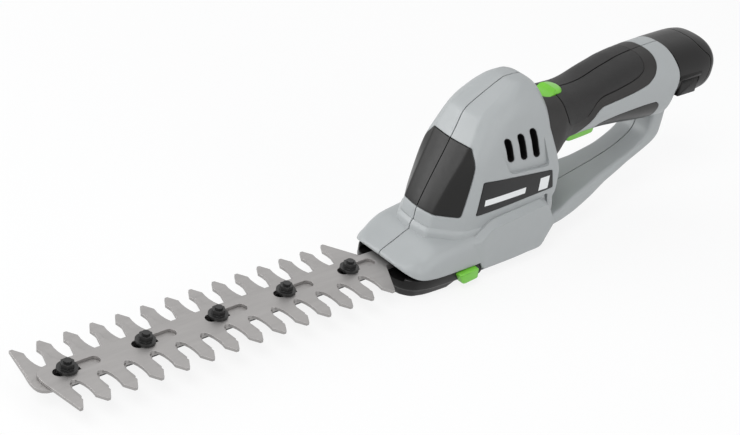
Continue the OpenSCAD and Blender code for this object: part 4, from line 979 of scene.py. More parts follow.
@dataclass
class Housing:
    """The two grey housing halves: dome, nose, base, cheeks, handle core, collar and guard."""

    body: BodyFrame
    dome: DomeForm
    handle: HandleForm
    wall: float = 2.6
    handle_wall: float = 3.6
    seam: float = 0.5
    half_reach: float = 100.0
    nose_shoulder: float = 11.0
    nose_limits: Span = (0.5, 0.95)
    nose_corners: Points = ((0.08, 0.62), (0.45, 0.14), (1.5, -0.02))
    nose_rounding: tuple[float, ...] = (0.04, 0.42, 0.45, 0.45)
    base_shoulder: float = 6.6
    base_corners: Points = ((1 / 4, 2 / 3), (1.0, 0.0))
    base_rounding: tuple[float, ...] = (0.1, 0.12, 0.3, 0.3)
    cheek_y: tuple[float, ...] = (19.0, 24.6, 28.4)
    cheek_back: Points = ((-12.0, 10.5), (-12.0, 25.6), (5.4, 37.8), (47.2, 40.6), (60.0, 23.0), (51.2, 6.9),
                          (0.4, 6.9))
    cheek_face: Points = ((2.5, 11.5), (-3.9, 27.6), (4.0, 33.8), (48.4, 38.4), (58.0, 23.0), (50.3, 8.6),
                          (3.0, 8.6))
    cheek_rounding: float = 0.12
    foot_rise: Points = ((26.0, 0.8), (32.4, 0.8), (33.2, 0.6), (34.2, 0.0), (35.2, -0.6))
    guard_low: Points = ((50.0, 8.0), (56.0, 9.4), (76.0, 13.0), (89.0, 14.8), (104.0, 18.8), (119.0, 24.0),
                         (137.0, 30.4), (152.4, 37.1), (162.0, 41.8), (166.6, 46.0), (167.4, 51.0),
                         (167.4, 66.0), (166.0, 74.0))
    guard_high: Points = ((155.2, 74.0), (155.0, 62.0), (154.6, 50.4), (149.0, 44.4), (137.0, 38.8),
                          (119.0, 33.8), (107.0, 31.4), (88.0, 27.4), (80.0, 25.0), (71.0, 21.8),
                          (60.0, 19.8), (50.0, 20.5))
    guard_width: Points = ((50.0, 20.4), (76.0, 19.8), (89.0, 18.0), (104.0, 15.8), (117.0, 13.4),
                           (137.0, 11.6), (170.0, 11.6))
    guard_rim: float = 1.6
    guard_rounding: float = 0.3
    guard_steps: int = 90
    guard_smoothings: int = 2
    collar_rear: Points = ((155.6, 40.0), (155.6, 76.0), (157.4, 86.0), (157.8, 91.0), (157.0, 95.5),
                           (155.4, 100.0), (154.4, 103.5), (154.0, 107.0), (154.0, 118.0))
    vents: tuple[Place, ...] = ((10.2, 78.4, 18.0), (20.8, 78.2, 20.2), (30.9, 78.3, 22.4))
    vent_width: float = 6.0
    vent_along: Span = (0.432, -0.902)
    vent_across: Span = (0.990, -0.139)
    vent_field: Points = ((13.9, 63.6), (46.4, 61.2), (36.0, 84.0), (31.5, 94.0), (-6.0, 94.0), (0.3, 84.0))
    vent_field_y: float = 22.0
    # The black cups in the vent slots are painted shade: they darken the vents as their shade would.
    shade_cup_y: Span = (16.0, 21.7)
    shade_cup_gap: float = 0.03
    shade_cup_wall: float = 0.5
    shade_cup_sink: float = 0.3
    notch: Points = ((46.4, 42.6), (49.8, 42.4), (53.6, 34.2), (51.2, 33.4))
    notch_y: float = 22.6
    recess_rounding: float = 0.12
    screw_places: Points = ((-19.1, 39.0), (48.3, 13.8), (54.0, 52.1), (16.5, 100.9), (163.0, 53.2))
    screw_hole_d: float = 6.2
    screw_hole_y: float = 10.0

    def sections(self, x: Rows, side: list[tuple[Rows, Rows]], rounding: Sequence[float]) -> Rows:
        """Sets rounded cross-sections along X, each of one side's corners and their mirror image.

        Args:
            x: Place of each station.
            side: Corners of the right side, from below.
            rounding: Share of the edges that each of these corners rounds.

        Returns:
            The grid of points.
        """
        ring = side + [(-y, z) for y, z in side[::-1]]
        loops = rounded_loop(corner_grid(ring), [*rounding, *rounding[::-1]])
        return np.concatenate([np.broadcast_to(x[:, None, None], loops.shape[:2] + (1,)), loops], axis=-1)

    def nose(self, offset: float = 0.0) -> Piece:
        """Lofts the low rounded hood over the blade cassette.

        Args:
            offset: Way of the surface from its own.

        Returns:
            The closed solid.
        """
        table = spline_rows(NOSE_SHARES, LOFT_STEPS)
        x = self.body.x(table[:, 0])
        half = self.body.half_width * table[:, 1]
        top, skirt = self.body.height * table[:, 2], self.body.height * table[:, 3]
        run = np.minimum(self.nose_shoulder, half * self.nose_limits[0])
        drop = np.minimum(self.nose_shoulder, (top - skirt) * self.nose_limits[1])
        side = [(half, skirt)] + [(half - run * a, top - drop * b) for a, b in self.nose_corners]
        rows = offset_rows(self.sections(x, side, self.nose_rounding), offset)
        rows[:, :, 0] = np.clip(rows[:, :, 0], x[0] - offset, x[-1])
        return loft("nose", rows)

    def base(self, offset: float = 0.0) -> Piece:
        """Lofts the rear base behind the cassette, with its bevelled lower edge.

        Args:
            offset: Way of the surface from its own.

        Returns:
            The closed solid.
        """
        table = spline_rows(BASE_SHARES, LINE_STEPS)
        half, foot = self.body.half_width * table[:, 1], self.body.half_width * table[:, 5]
        top, skirt, bottom = (self.body.height * table[:, c] for c in (2, 3, 4))
        r = self.base_shoulder
        side = [(foot, bottom), (half, skirt)] + [(half - r * a, top - r * b) for a, b in self.base_corners]
        rows = self.sections(self.body.x(table[:, 0]), side, self.base_rounding)
        return loft("base", offset_rows(rows, offset))

    def cheek(self, side: Side) -> Piece:
        """Builds the raised side cheek: its outline runs straight out and then slants in to its face.

        Args:
            side: Side of the tool.

        Returns:
            The closed solid.
        """
        back, face = (rounded_loop(line, self.cheek_rounding) for line in (self.cheek_back, self.cheek_face))
        rows = np.empty((len(self.cheek_y), len(back), 3))
        rows[:, :, [0, 2]] = np.stack([back, back, face])
        rows[:, :, 1] = np.array(self.cheek_y)[:, None] * side.value
        return loft("cheek", rows)

    def foot(self) -> Piece:
        """Builds the small step round the dome's foot."""
        return prism("foot", self.dome.rows()[0][:, :2], Plane.TOP, [(z, -out) for z, out in self.foot_rise])

    def guard(self) -> Piece:
        """Lofts the hand guard: bevelled sections between its lower and upper line, narrowing to the rear.

        Returns:
            The closed solid.
        """
        lines = (spline_rows(np.array(line), LINE_STEPS) for line in (self.guard_low, self.guard_high[::-1]))
        low, high = (smoothed(even_steps(line, self.guard_steps), self.guard_smoothings) for line in lines)
        thick = np.linalg.norm(high - low, axis=-1)
        width = np.array(self.guard_width)
        half = np.interp((low + high)[:, 0] / 2, width[:, 0], width[:, 1])
        rim = np.full_like(half, self.guard_rim)
        right = [(rim, half), (thick - rim, half), (thick, half - rim)]
        foot = [(np.zeros_like(rim), half - rim)]
        ring = foot + right + [(u, -y) for u, y in right[::-1] + foot]
        loops = rounded_loop(corner_grid(ring), self.guard_rounding)
        upward = ((high - low) / thick[:, None])[:, None, :]
        place = low[:, None, :] + loops[..., :1] * upward
        return loft("guard", np.stack([place[..., 0], loops[..., 1], place[..., 1]], axis=-1))

    def outer(self, grip_pockets: Sequence[Piece]) -> Piece:
        """Joins the outer forms of the housing into one solid.

        Args:
            grip_pockets: Shallow pockets of the handle for the grip and for the dark strip of painted shade.

        Returns:
            The closed solid.
        """
        whole = loft("housing", self.dome.rows())
        reach = self.handle.half_width + OVERRUN
        rear = straight("rear", behind_edge(self.collar_rear), Plane.SIDE, (-reach, reach))
        core = cut(loft("handle_core", self.handle.rows()), rear, *grip_pockets)
        cheeks = [self.cheek(side) for side in Side]
        return join(whole, self.foot(), self.nose(), self.base(), *cheeks, core, self.guard())

    def hollow(self, whole: Piece) -> None:
        """Cuts the inside of the solid housing, open to the cassette below and to the battery behind."""
        dome_room = loft("dome_room", offset_rows(self.dome.rows(closed_top=False), -self.wall))
        handle_room = loft("handle_room", offset_rows(self.handle.rows(), -self.handle_wall))
        cut(whole, dome_room, self.nose(-self.wall), self.base(-self.wall), handle_room)

    def cut_details(self, whole: Piece) -> None:
        """Cuts the vents with their field, the notches, the screw holes and the seam.

        Args:
            whole: The hollow housing.
        """
        reach = self.body.half_width + OVERRUN
        for points, depth in ((self.vent_field, self.vent_field_y), (self.notch, self.notch_y)):
            recess = rounded_loop(points, self.recess_rounding)
            for side in Side:
                cut(whole, straight("recess", recess, Plane.SIDE, side.span(depth, reach)))
        for slot in self.vent_slots():
            cut(whole, straight("vent", slot, Plane.SIDE, (-reach, reach)))
        for place in self.screw_places:
            hole = circle(self.screw_hole_d, place)
            cut(whole, straight("screw_hole", hole, Plane.SIDE, (self.screw_hole_y, reach)))
        cut(whole, slab("seam", (-self.seam / 2, self.seam / 2)))

    def vent_slots(self, inset: float = 0.0) -> list[Rows]:
        """Outlines the vent slots, skewed to the dome's lean, each drawn in by an inset.

        Args:
            inset: Way inwards.

        Returns:
            The closed outlines.
        """
        skew = np.array([self.vent_along, self.vent_across])
        width = self.vent_width - 2 * inset
        return [stadium(length - 2 * inset, width, (0.0, 0.0)) @ skew + np.array([x, z])
                for x, z, length in self.vents]

    def shade_cups(self) -> Piece:
        """Builds black cups that line the vent slots a little under the surface: painted shade that darkens
        the vents.

        Returns:
            The cups of both sides in one piece.
        """
        inner, outer = self.shade_cup_y
        skin = loft("skin", offset_rows(self.dome.rows(), -self.shade_cup_sink))
        cups = []
        for side in Side:
            for slot, room in zip(self.vent_slots(self.shade_cup_gap), self.vent_slots(self.shade_cup_wall)):
                cup = straight("vent_shade_cups", slot, Plane.SIDE, side.span(inner, outer))
                combine(cup, skin, Joining.KEEP, spare=True)
                span = side.span(inner + self.shade_cup_wall, outer + OVERRUN)
                cups.append(cut(cup, straight("room", room, Plane.SIDE, span)))
        discard(skin)
        return join(*cups)

    def build(self, shop: Workshop, rooms: Sequence[Piece], dome_pockets: Sequence[Piece],
              grip_pockets: Sequence[Piece]) -> None:
        """Builds both halves and the black cups of painted shade in the vent slots.

        Args:
            shop: The finishes.
            rooms: Rooms of the blade cassette, the lock-off button and the trigger.
            dome_pockets: Shallow pockets of the dome for the panels and the label.
            grip_pockets: Shallow pockets of the handle for the grip and for the dark strip of painted shade.
        """
        whole = cut(self.outer(grip_pockets), *dome_pockets)
        self.hollow(whole)
        self.cut_details(cut(whole, *rooms))
        for side in Side:
            half = copy_of(whole, f"housing_shell_{side.word}")
            combine(half, slab("half", side.span(0.0, self.half_reach)), Joining.KEEP)
            shop.settle(half, "housing", "grey_plastic", [f"housing_{side.word}"])
        discard(whole)
        # Black cups in the vents: painted shade.
        shop.settle(self.shade_cups(), "housing", "black_plastic")


@dataclass
class FrontPanels:
    """The two dark panels on the dome's front and the blank label on its left side."""

    dome: DomeForm
    panel: Points = ((-60.0, 43.3), (-17.6, 43.3), (-13.2, 71.6), (-13.0, 81.6), (-60.0, 81.6))
    panel_rounding: tuple[float, ...] = (0.02, 0.04, 0.08, 0.02, 0.02)
    panel_thick: float = 2.0
    panel_proud: float = 0.1
    panel_gap: float = 0.45
    panel_bed: float = 0.05
    seam: float = 0.25
    label: Points = ((-8.4, 43.2), (-6.7, 63.4), (49.3, 57.8), (52.8, 46.0))
    label_rounding: float = 0.04
    label_thick: float = 0.4
    label_proud: float = 0.15
    label_gap: float = 0.3
    label_bed: float = 0.03

    def pockets(self) -> list[Piece]:
        """Makes the pockets that the panels and the label lie in.

        Returns:
            The solids to cut away.
        """
        panel_bed = rounded_outline(self.panel, self.panel_rounding, self.panel_gap)
        label_bed = rounded_outline(self.label, self.label_rounding, self.label_gap)
        floor = self.label_proud - self.label_thick
        return [self.dome.skin("panel_pocket", POCKET_OVERRUN, -self.panel_thick, panel_bed),
                self.dome.skin("label_pocket", POCKET_OVERRUN, floor, label_bed, Side.LEFT)]

    def build(self, shop: Workshop) -> None:
        """Builds the panels and the label.

        Args:
            shop: The finishes.
        """
        outline = rounded_outline(self.panel, self.panel_rounding)
        back = self.panel_bed - self.panel_thick
        for side in Side:
            panel = self.dome.skin(f"panel_skin_{side.word}", self.panel_proud, back, outline, side)
            cut(panel, slab("gap", (-self.seam, self.seam)))
            shop.settle(panel, "housing", "dark_plastic", [f"front_panel_{side.word}"])
        outline = rounded_outline(self.label, self.label_rounding)
        back = self.label_proud - self.label_thick + self.label_bed
        label = self.dome.skin("label_skin", self.label_proud, back, outline, Side.LEFT)
        shop.settle(label, "housing", "label_film", ["rating_label"])


@dataclass
class SoftGrip:
    """The soft grip halves with their textured pads, and a dark strip under the handle that paints the shade
    there.
    """

    handle: HandleForm
    grip: Points = ((43.0, 122.0), (140.0, 122.0), (140.0, 112.0), (139.6, 106.4), (138.8, 103.0),
                    (137.2, 99.6), (134.6, 96.0), (129.6, 92.4), (123.8, 90.8), (113.2, 88.6), (102.7, 86.9),
                    (95.0, 85.8), (91.6, 85.2), (88.6, 83.1), (85.7, 79.2), (83.0, 76.4), (80.0, 74.4),
                    (74.0, 69.0), (68.0, 60.0), (62.5, 48.0), (43.0, 48.0))
    grip_rounding: float = 0.3
    grip_thick: float = 1.6
    gap: float = 0.3
    bed: float = 0.05
    seam: float = 0.2
    half_reach: float = 60.0
    pad: Points = ((60.2, 122.0), (60.2, 93.0), (60.2, 88.0), (61.8, 83.5), (64.4, 78.6), (77.4, 79.6),
                   (82.0, 84.5), (85.8, 88.2), (91.5, 91.0), (103.5, 93.3), (113.8, 95.7), (121.9, 98.0),
                   (126.6, 100.4), (129.0, 104.0), (130.6, 107.0), (130.6, 122.0))
    pad_rounding: float = 0.35
    pad_thick: float = 0.9
    pad_proud: float = 0.12
    groove: float = 0.6
    pad_seam: float = 0.4
    pad_foot: float = 81.5
    # The dark strip under the handle is painted shade: it stands in for the shade beneath the handle.
    shade_strip: Points = ((92.4, 60.0), (92.6, 73.4), (106.5, 76.2), (117.0, 77.3), (127.7, 78.4), (140.5, 78.8),
                     (144.6, 75.4), (146.0, 60.0))
    strip_rounding: float = 0.2
    strip_gap: float = 0.2
    strip_thick: float = 0.8
    strip_proud: float = 0.05

    def pockets(self) -> list[Piece]:
        """Makes the pockets that the grip and the strip lie in.

        Returns:
            The solids to cut away.
        """
        grip_bed = rounded_outline(self.grip, self.grip_rounding, self.gap)
        strip_bed = rounded_outline(self.shade_strip, self.strip_rounding, self.strip_gap)
        return [self.handle.skin("grip_pocket", POCKET_OVERRUN, -self.grip_thick, grip_bed),
                self.handle.skin("shade_strip_pocket", POCKET_OVERRUN, -self.strip_thick, strip_bed)]

    def build(self, shop: Workshop, holes: Sequence[Piece]) -> None:
        """Builds the grip halves, the pads and the dark strip of painted shade under the handle.

        Args:
            shop: The finishes.
            holes: Rooms of the lock-off button and the trigger.
        """
        grip_line = rounded_outline(self.grip, self.grip_rounding)
        pad_line, wide = (rounded_outline(self.pad, self.pad_rounding, gap) for gap in (0.0, self.groove))
        bed_line = np.where(pad_line[:, 1:] < self.pad_foot, pad_line, wide)
        for side in Side:
            grip = self.handle.skin(f"grip_skin_{side.word}", 0.0, self.bed - self.grip_thick, grip_line)
            cut(grip, *holes, spare=True)
            cut(grip, self.handle.skin("pad_bed", POCKET_OVERRUN, -self.pad_thick, bed_line))
            combine(grip, slab("half", side.span(self.seam, self.half_reach)), Joining.KEEP)
            shop.settle(grip, "housing", "soft_grip", [f"grip_{side.word}"])
            pad = self.handle.skin(f"pad_skin_{side.word}", self.pad_proud, self.bed - self.pad_thick,
                                   pad_line)
            combine(pad, slab("half", side.span(self.pad_seam, self.half_reach)), Joining.KEEP)
            shop.settle(pad, "housing", "pad_rubber", [f"grip_pad_{side.word}"])
        # Painted shade: a dark strip where the handle's underside lies in shade.
        strip_line = rounded_outline(self.shade_strip, self.strip_rounding)
        shade_strip = self.handle.skin("underside_shade_strip", self.strip_proud, self.bed - self.strip_thick, strip_line)
        cut(shade_strip, *holes, spare=True)
        shop.settle(shade_strip, "housing", "dark_plastic")


@dataclass
class Controls:
    """The lock-off button on the handle and the trigger below it."""

    lock_x: float = 59.0
    lock_size: Span = (20.0, 12.5)
    lock_z: Span = (86.1, 98.6)
    lock_rim: float = 2.4
    lock_rim_steps: int = 5
    lock_shoulder: float = 4.0
    lock_slope: float = 0.12
    lock_bore: Span = (7.0, 3.4)
    lock_room_z: Span = (82.0, 110.0)
    scoop_centre: Span = (52.8, 102.4)
    scoop_d: float = 18.4
    round_points: int = 64
    trigger_pivot: Span = (80.0, 70.0)
    trigger_size: Span = (25.5, 12.0)
    trigger_shares: Points = ((-0.13, -0.20), (0.06, -0.90), (0.18, -1.0), (0.90, -0.92), (0.98, -0.82),
                              (1.0, -0.30), (0.60, -0.05), (0.18, 0.24))
    trigger_rounding: float = 0.3
    trigger_half: float = 6.5
    trigger_rim: float = 1.6
    trigger_room: Points = ((75.6, 50.0), (108.4, 73.0))
    trigger_room_rim: float = 1.0
    clearance: float = 0.6

    def holes(self) -> list[Piece]:
        """Makes the rooms of both controls.

        Returns:
            The solids to cut away.
        """
        length, width = (size + 2 * self.clearance for size in self.lock_size)
        outline = stadium(length, width, (self.lock_x, 0.0))
        lock_room = straight("lock_room", outline, Plane.TOP, self.lock_room_z)
        half = self.trigger_half + self.clearance
        (front, bottom), (rear, top) = self.trigger_room
        slot = block("trigger_room", (front, -half, bottom), (rear, half, top), self.trigger_room_rim)
        return [lock_room, slot]

    def lock_off(self, shop: Workshop) -> None:
        """Builds the button: a slot-shaped prism whose top falls to the rear, with a scoop and a bore.

        Args:
            shop: The finishes.
        """
        length, width = self.lock_size
        foot, top = self.lock_z
        outline = stadium(length, width, (self.lock_x, 0.0))
        levels = round_levels(foot, top, self.lock_rim, self.lock_rim_steps)
        button = prism("lock_button", outline, Plane.TOP, levels)
        coords = np.empty(len(button.data.vertices) * 3)
        button.data.vertices.foreach_get("co", coords)
        coords = coords.reshape(-1, 3)
        upper = coords[:, 2] > (foot + self.lock_shoulder) * MM
        fall = self.lock_slope * (coords[:, 0] - (self.lock_x - length / 2) * MM)
        coords[:, 2] -= np.where(upper, fall, 0.0)
        button.data.vertices.foreach_set("co", coords.ravel())
        scoop = circle(self.scoop_d, self.scoop_centre, self.round_points)
        bore_d, bore_depth = self.lock_bore
        bore = circle(bore_d, (self.lock_x, 0.0), self.round_points)
        cut(button, straight("scoop", scoop, Plane.SIDE, (-width, width)),
            straight("bore", bore, Plane.TOP, (foot - OVERRUN, foot + bore_depth)))
        shop.settle(button, "lock_off", "green_plastic", ["lock_off_button"], crease=KEY_CREASE)

    def trigger(self, shop: Workshop) -> None:
        """Builds the trigger from its side outline with round rims.

        Args:
            shop: The finishes.
        """
        corners = np.array(self.trigger_pivot) + np.array(self.trigger_shares) * np.array(self.trigger_size)
        levels = round_levels(-self.trigger_half, self.trigger_half, self.trigger_rim)
        lever = prism("trigger_lever", rounded_loop(corners, self.trigger_rounding), Plane.SIDE, levels)
        shop.settle(lever, "trigger", "green_plastic", ["trigger"], crease=KEY_CREASE)

    def build(self, shop: Workshop) -> None:
        """Builds both controls."""
        self.lock_off(shop)
        self.trigger(shop)


@dataclass
class Cassette:
    """The black cassette base under the nose, its two release buttons and the lower blade's end."""

    body: BodyFrame
    nose_half: Points = ((-52.3, 12.8), (-50.8, 17.3), (-46.3, 22.5), (-40.8, 24.7), (-31.8, 26.2),
                         (-8.6, 27.0), (2.4, 27.3))
    tail_x: float = 26.0
    tail_half: float = 20.0
    base_levels: Points = ((0.0, 3.8), (0.8, 3.0), (4.0, 2.4), (5.6, 0.5), (6.6, 0.0), (11.6, 0.0),
                           (12.2, 0.6))
    base_crease: float = 40.0
    wall_z: Span = (11.2, 16.4)
    wall_inset: float = 3.1
    tray: tuple[Place, Place] = ((-70.0, -18.3, 10.6), (23.0, 18.3, 30.0))
    tray_rim: float = 0.5
    clearance: float = 0.5
    base_room_z: Span = (-6.0, 12.8)
    wall_room_z: Span = (11.2, 16.8)
    moving_rooms: tuple[tuple[Place, Place], ...] = (((-60.0, -18.6, 11.0), (26.0, 18.6, 17.0)),
                                                     ((-30.0, -20.5, 11.0), (26.0, 20.5, 27.5)))
    room_rim: float = 0.3
    button: Points = ((-14.0, 4.0), (-2.4, 5.0), (-3.4, 12.4), (-18.8, 11.6))
    button_rounding: float = 0.2
    button_rim: float = 0.9
    button_y: Span = (22.4, 30.4)
    relief: Points = ((-25.0, -2.0), (-14.6, 4.0), (3.4, 4.0), (3.4, -2.0))
    relief_y: float = 20.6
    tip: Points = ((-266.0, 27.2), (-267.6, 18.0), (-269.0, 10.0), (-270.1, 5.0), (-270.7, 1.5),
                   (-270.8, -1.5), (-270.3, -4.2), (-269.0, -6.0), (-267.0, -7.2), (-264.6, -7.7),
                   (-261.0, -7.8), (-261.0, -4.0), (-263.5, 6.0), (-264.6, 27.2))
    tip_z: Span = (12.705, 14.295)
    tip_slot: Place = (20.0, 6.2, -256.2)

    def outline(self, inset: float) -> Rows:
        """Outlines the base seen from above: the rounded nose and the narrower tail.

        Args:
            inset: Way inwards.

        Returns:
            The closed outline.
        """
        half = spline_rows(np.array(self.nose_half), LINE_STEPS)
        tail = np.array([(half[-1, 0], self.tail_half), (self.tail_x, self.tail_half)])
        right = np.concatenate([half, tail])
        left = right[::-1] * np.array([1.0, -1.0])
        return inset_rings(np.concatenate([right, left]), np.array([inset]))[0]

    def room(self) -> Piece:
        """Makes the room that the housing leaves for the base, the blades and the crank gear.

        Returns:
            The solid to cut away.
        """
        whole = straight("cassette_room", self.outline(-self.clearance), Plane.TOP, self.base_room_z)
        walls = straight("walls", self.outline(self.wall_inset - self.clearance), Plane.TOP, self.wall_room_z)
        moving = [block("moving", low, high, self.room_rim) for low, high in self.moving_rooms]
        return join(whole, walls, *moving)

    def base(self, shop: Workshop) -> None:
        """Builds the base: a bevelled foot, a rim and inner walls round an open tray.

        Args:
            shop: The finishes.
        """
        solid = prism("cassette_shell", self.outline(0.0), Plane.TOP, self.base_levels)
        join(solid, straight("inner_wall", self.outline(self.wall_inset), Plane.TOP, self.wall_z))
        cut(solid, block("tray", *self.tray, self.tray_rim))
        reach = self.body.half_width + OVERRUN
        for side in Side:
            cut(solid, straight("relief", self.relief, Plane.SIDE, side.span(self.relief_y, reach)))
        shop.settle(solid, "cassette", "black_plastic", ["cassette_base"], crease=self.base_crease)

    def buttons(self, shop: Workshop) -> None:
        """Builds the two release buttons as blocks with round rims.

        Args:
            shop: The finishes.
        """
        outline = rounded_loop(self.button, self.button_rounding)
        for side in Side:
            levels = round_levels(*side.span(*self.button_y), self.button_rim)
            button = prism(f"release_key_{side.word}", outline, Plane.SIDE, levels)
            shop.settle(button, f"release_{side.word}", "green_plastic", [f"release_button_{side.word}"],
                        crease=KEY_CREASE)

    def blade_tip(self, shop: Workshop) -> None:
        """Builds the lower blade's rounded end, with the end of its guide slot.

        Args:
            shop: The finishes.
        """
        plate = straight("lower_blade_tip", self.tip, Plane.TOP, self.tip_z)
        length, width, x = self.tip_slot
        slot = straight("slot", stadium(length, width, (x, 0.0)), Plane.TOP, (0.0, self.tip_z[1] + OVERRUN))
        shop.settle(cut(plate, slot), "lower_blade", "blade_steel")

    def build(self, shop: Workshop) -> None:
        """Builds the base, the buttons and the lower blade's end."""
        self.base(shop)
        self.buttons(shop)
        self.blade_tip(shop)


@dataclass
class Battery:
    """The black battery: case with its stem, end cap and two side latches."""

    housing: Housing
    half_width: float = 20.6
    low_z: float = 70.7
    high_z: float = 107.2
    squareness: float = 2.48
    around: int = 96
    gap: float = 0.6
    seam_edge: Points = ((183.0, 60.0), (183.4, 76.0), (185.6, 82.0), (187.2, 86.7), (187.8, 91.5),
                         (187.8, 95.6), (186.4, 99.0), (182.8, 101.8), (180.6, 104.2), (179.8, 107.0),
                         (179.8, 118.0))
    stem: tuple[Place, Place] = ((117.0, -10.8, 76.6), (170.0, 10.8, 98.2))
    stem_rim: float = 4.0
    latch: Points = ((161.4, 77.4), (178.6, 87.6))
    latch_rounding: float = 0.06
    latch_rim: float = 0.9
    latch_y: Span = (16.9, 20.5)
    latch_travel: float = 1.6
    latch_gap: float = 0.4
    ridge: Points = ((158.6, 88.8), (180.0, 91.2))
    ridge_rounding: float = 0.1
    ridge_rim: float = 0.6
    ridge_y: Span = (17.0, 21.0)

    def rows(self) -> Rows:
        """Stacks superellipses along the battery, drawn in towards its rear end.

        Returns:
            The grid of points.
        """
        table = spline_rows(BATTERY_STATIONS, LOFT_STEPS)
        span = (self.low_z + table[:, 2], self.high_z - table[:, 3])
        half = self.half_width * table[:, 1]
        return rounded_sections(table[:, 0], half, span, self.squareness, self.around)

    def case_and_cap(self) -> tuple[Piece, Piece]:
        """Cuts the battery's form at the collar's edge and at its own seam.

        Returns:
            The case with its stem, and the end cap.
        """
        reach = self.half_width + OVERRUN
        front, seam, rear = (straight("edge", behind_edge(edge, gap), Plane.SIDE, (-reach, reach))
                             for edge, gap in ((self.housing.collar_rear, self.gap), (self.seam_edge, 0.0),
                                               (self.seam_edge, self.gap)))
        case = combine(loft("battery_shell", self.rows()), front, Joining.KEEP)
        cap = combine(copy_of(case, "battery_cap"), rear, Joining.KEEP)
        return join(cut(case, seam), block("stem", *self.stem, self.stem_rim)), cap

    def build(self, shop: Workshop) -> None:
        """Builds the case with its latch pockets and ridges, the cap and the latches.

        Args:
            shop: The finishes.
        """
        case, cap = self.case_and_cap()
        latch_line, pocket_line = (rounded_outline(box_corners(*self.latch), self.latch_rounding, gap)
                                   for gap in (0.0, self.latch_gap))
        ridge_line = rounded_outline(box_corners(*self.ridge), self.ridge_rounding)
        floor = self.latch_y[0] - self.latch_travel - self.latch_gap
        for side in Side:
            pocket = side.span(floor, self.latch_y[1] + OVERRUN)
            cut(case, straight("pocket", pocket_line, Plane.SIDE, pocket))
            levels = round_levels(*side.span(*self.ridge_y), self.ridge_rim)
            join(case, prism("ridge", ridge_line, Plane.SIDE, levels))
            levels = round_levels(*side.span(*self.latch_y), self.latch_rim)
            latch = prism(f"latch_key_{side.word}", latch_line, Plane.SIDE, levels)
            shop.settle(latch, f"latch_{side.word}", "black_plastic", [f"battery_latch_{side.word}"],
                        crease=KEY_CREASE)
        shop.settle(case, "battery", "black_plastic", ["battery_case"])
        shop.settle(cap, "battery", "black_plastic", ["battery_end_cap"])


@dataclass(frozen=True)
class Lamp:
    """A soft square lamp: place, target and side in metres, power in watts."""

    name: str
    place: Place
    target: Place
    size: float
    power: float


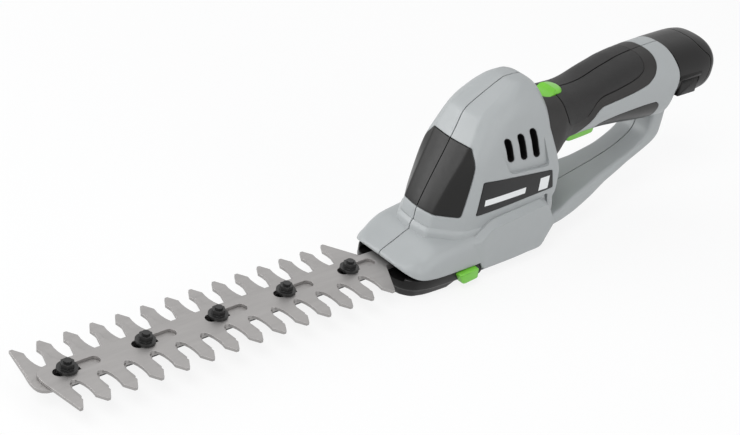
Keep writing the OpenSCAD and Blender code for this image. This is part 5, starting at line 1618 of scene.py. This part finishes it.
@dataclass
class Studio:
    """The pale floor, the soft lights and the camera at the photograph's angle, placed in metres."""

    eye: Place = (-0.6142, -0.4952, 0.4775)
    azimuth: float = math.radians(-47.905)
    elevation: float = math.radians(30.301)
    roll: float = math.radians(10.795)
    lens: float = 78.96
    sensor: float = 36.0
    clip: float = 0.01
    white: Color = (1.0, 1.0, 1.0, 1.0)
    sky: Color = (0.95, 0.97, 1.0, 1.0)
    sky_strength: float = 0.36
    floor_half: float = 6.0
    floor_gap_mm: float = 0.2
    floor_color: Color = (0.9, 0.9, 0.9, 1.0)
    floor_roughness: float = 0.9
    floor_white: float = 0.85
    lamps: tuple[Lamp, ...] = (Lamp("key", (-1.2, -0.5, 1.6), (0.0, 0.0, 0.05), 0.8, 17.0),
                               Lamp("front", (-1.5, 1.0, 0.4), (0.0, 0.0, 0.05), 1.2, 22.0),
                               Lamp("fill", (0.5, -1.9, 0.7), (0.05, 0.0, 0.06), 1.4, 13.0),
                               Lamp("top", (0.3, 0.5, 2.0), (0.0, 0.0, 0.05), 1.5, 8.0))

    def hang(self, name: str, data: bpy.types.ID, axes: tuple[Rows, Rows, Rows], place: Place) -> Piece:
        """Links a camera or a lamp at its place.

        Args:
            name: Name of the object.
            data: Its camera or lamp.
            axes: Its right, up and back directions.
            place: Its place, in metres.

        Returns:
            The object.
        """
        item = bpy.data.objects.new(name, data)
        bpy.context.scene.collection.objects.link(item)
        matrix = np.eye(4)
        matrix[:3] = np.stack([*axes, np.array(place)], axis=-1)
        item.matrix_world = Matrix(matrix.tolist())
        return item

    def camera(self) -> None:
        """Places the camera: its back axis comes from azimuth and elevation, its right axis from the roll."""
        back = np.array([math.sin(self.azimuth) * math.cos(self.elevation),
                         -math.cos(self.azimuth) * math.cos(self.elevation), math.sin(self.elevation)])
        level = np.array([math.cos(self.azimuth), math.sin(self.azimuth), 0.0])
        right = math.cos(self.roll) * level + math.sin(self.roll) * np.cross(back, level)
        data = bpy.data.cameras.new("camera")
        data.lens = self.lens
        data.sensor_width = self.sensor
        data.clip_start = self.clip
        bpy.context.scene.camera = self.hang("camera", data, (right, np.cross(back, right), back), self.eye)

    def show_white(self, tree: bpy.types.NodeTree, lit: bpy.types.Node, shown: bpy.types.Node, output: str,
                   share: float) -> None:
        """Shows a white shader to camera, glossy and transmitted rays, and the lit one to all others.

        Args:
            tree: The nodes of the world or the floor.
            lit: Shader that lights the object.
            shown: White shader.
            output: Name of the output node.
            share: Share of the white shader for such rays.
        """
        path = tree.nodes.new("ShaderNodeLightPath")
        seen = path.outputs["Is Camera Ray"]
        for name in ("Is Glossy Ray", "Is Transmission Ray"):
            more = tree.nodes.new("ShaderNodeMath")
            more.operation = "MAXIMUM"
            tree.links.new(seen, more.inputs[0])
            tree.links.new(path.outputs[name], more.inputs[1])
            seen = more.outputs[0]
        part = tree.nodes.new("ShaderNodeMath")
        part.operation = "MULTIPLY"
        part.inputs[1].default_value = share
        tree.links.new(seen, part.inputs[0])
        mix = tree.nodes.new("ShaderNodeMixShader")
        for socket, source in zip(mix.inputs, (part, lit, shown)):
            tree.links.new(source.outputs[0], socket)
        tree.links.new(mix.outputs[0], tree.nodes[output].inputs["Surface"])

    def world(self) -> None:
        """Lights the scene with a soft pale world that shows white."""
        world = bpy.data.worlds.new("studio")
        world.use_nodes = True
        tree = world.node_tree
        light = tree.nodes["Background"]
        light.inputs["Color"].default_value = self.sky
        light.inputs["Strength"].default_value = self.sky_strength
        shown = tree.nodes.new("ShaderNodeBackground")
        shown.inputs["Color"].default_value = self.white
        self.show_white(tree, light, shown, "World Output", 1.0)
        bpy.context.scene.world = world

    def floor(self) -> None:
        """Lays a pale floor that takes the object's soft shadow."""
        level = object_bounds()[0][2] * PER_METRE - self.floor_gap_mm
        half = self.floor_half * PER_METRE
        corners = np.array([(x, y, level) for x, y in box_corners((-half, -half), (half, half))])
        ground = mesh_piece("floor", corners, [[0, 1, 2, 3]])
        surface = bpy.data.materials.new("pale_floor")
        surface.use_nodes = True
        tree = surface.node_tree
        paint = tree.nodes["Principled BSDF"]
        paint.inputs["Base Color"].default_value = self.floor_color
        paint.inputs["Roughness"].default_value = self.floor_roughness
        glow = tree.nodes.new("ShaderNodeEmission")
        glow.inputs["Color"].default_value = self.white
        self.show_white(tree, paint, glow, "Material Output", self.floor_white)
        ground.data.materials.append(surface)
        ground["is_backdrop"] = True

    def lights(self) -> None:
        """Hangs the soft square lamps, each turned to its target."""
        for lamp in self.lamps:
            data = bpy.data.lights.new(lamp.name, "AREA")
            data.shape = "SQUARE"
            data.size = lamp.size
            data.energy = lamp.power
            away = np.array(lamp.place) - np.array(lamp.target)
            away /= np.linalg.norm(away)
            right = np.cross([0.0, 0.0, 1.0], away)
            right /= np.linalg.norm(right)
            self.hang(lamp.name, data, (right, np.cross(away, right), away), lamp.place)

    def build(self) -> None:
        """Sets up the whole studio."""
        bpy.context.scene.view_settings.view_transform = "Standard"
        self.camera()
        self.world()
        self.floor()
        self.lights()


def main() -> None:
    """Builds the sub-assemblies in order."""
    logging.basicConfig(level=logging.INFO, format="%(message)s")
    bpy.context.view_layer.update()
    Studio().build()
    shop = Workshop()
    shop.dress_nodes()
    body = BodyFrame()
    dome, handle = DomeForm(body), HandleForm(body)
    panels, grip, controls = FrontPanels(dome), SoftGrip(handle), Controls()
    cassette = Cassette(body)
    housing = Housing(body, dome, handle)
    grip_holes = controls.holes()
    grip.build(shop, grip_holes)
    housing.build(shop, [cassette.room(), *grip_holes], panels.pockets(), grip.pockets())
    panels.build(shop)
    controls.build(shop)
    cassette.build(shop)
    Battery(housing).build(shop)


if __name__ == "__main__":
    main()
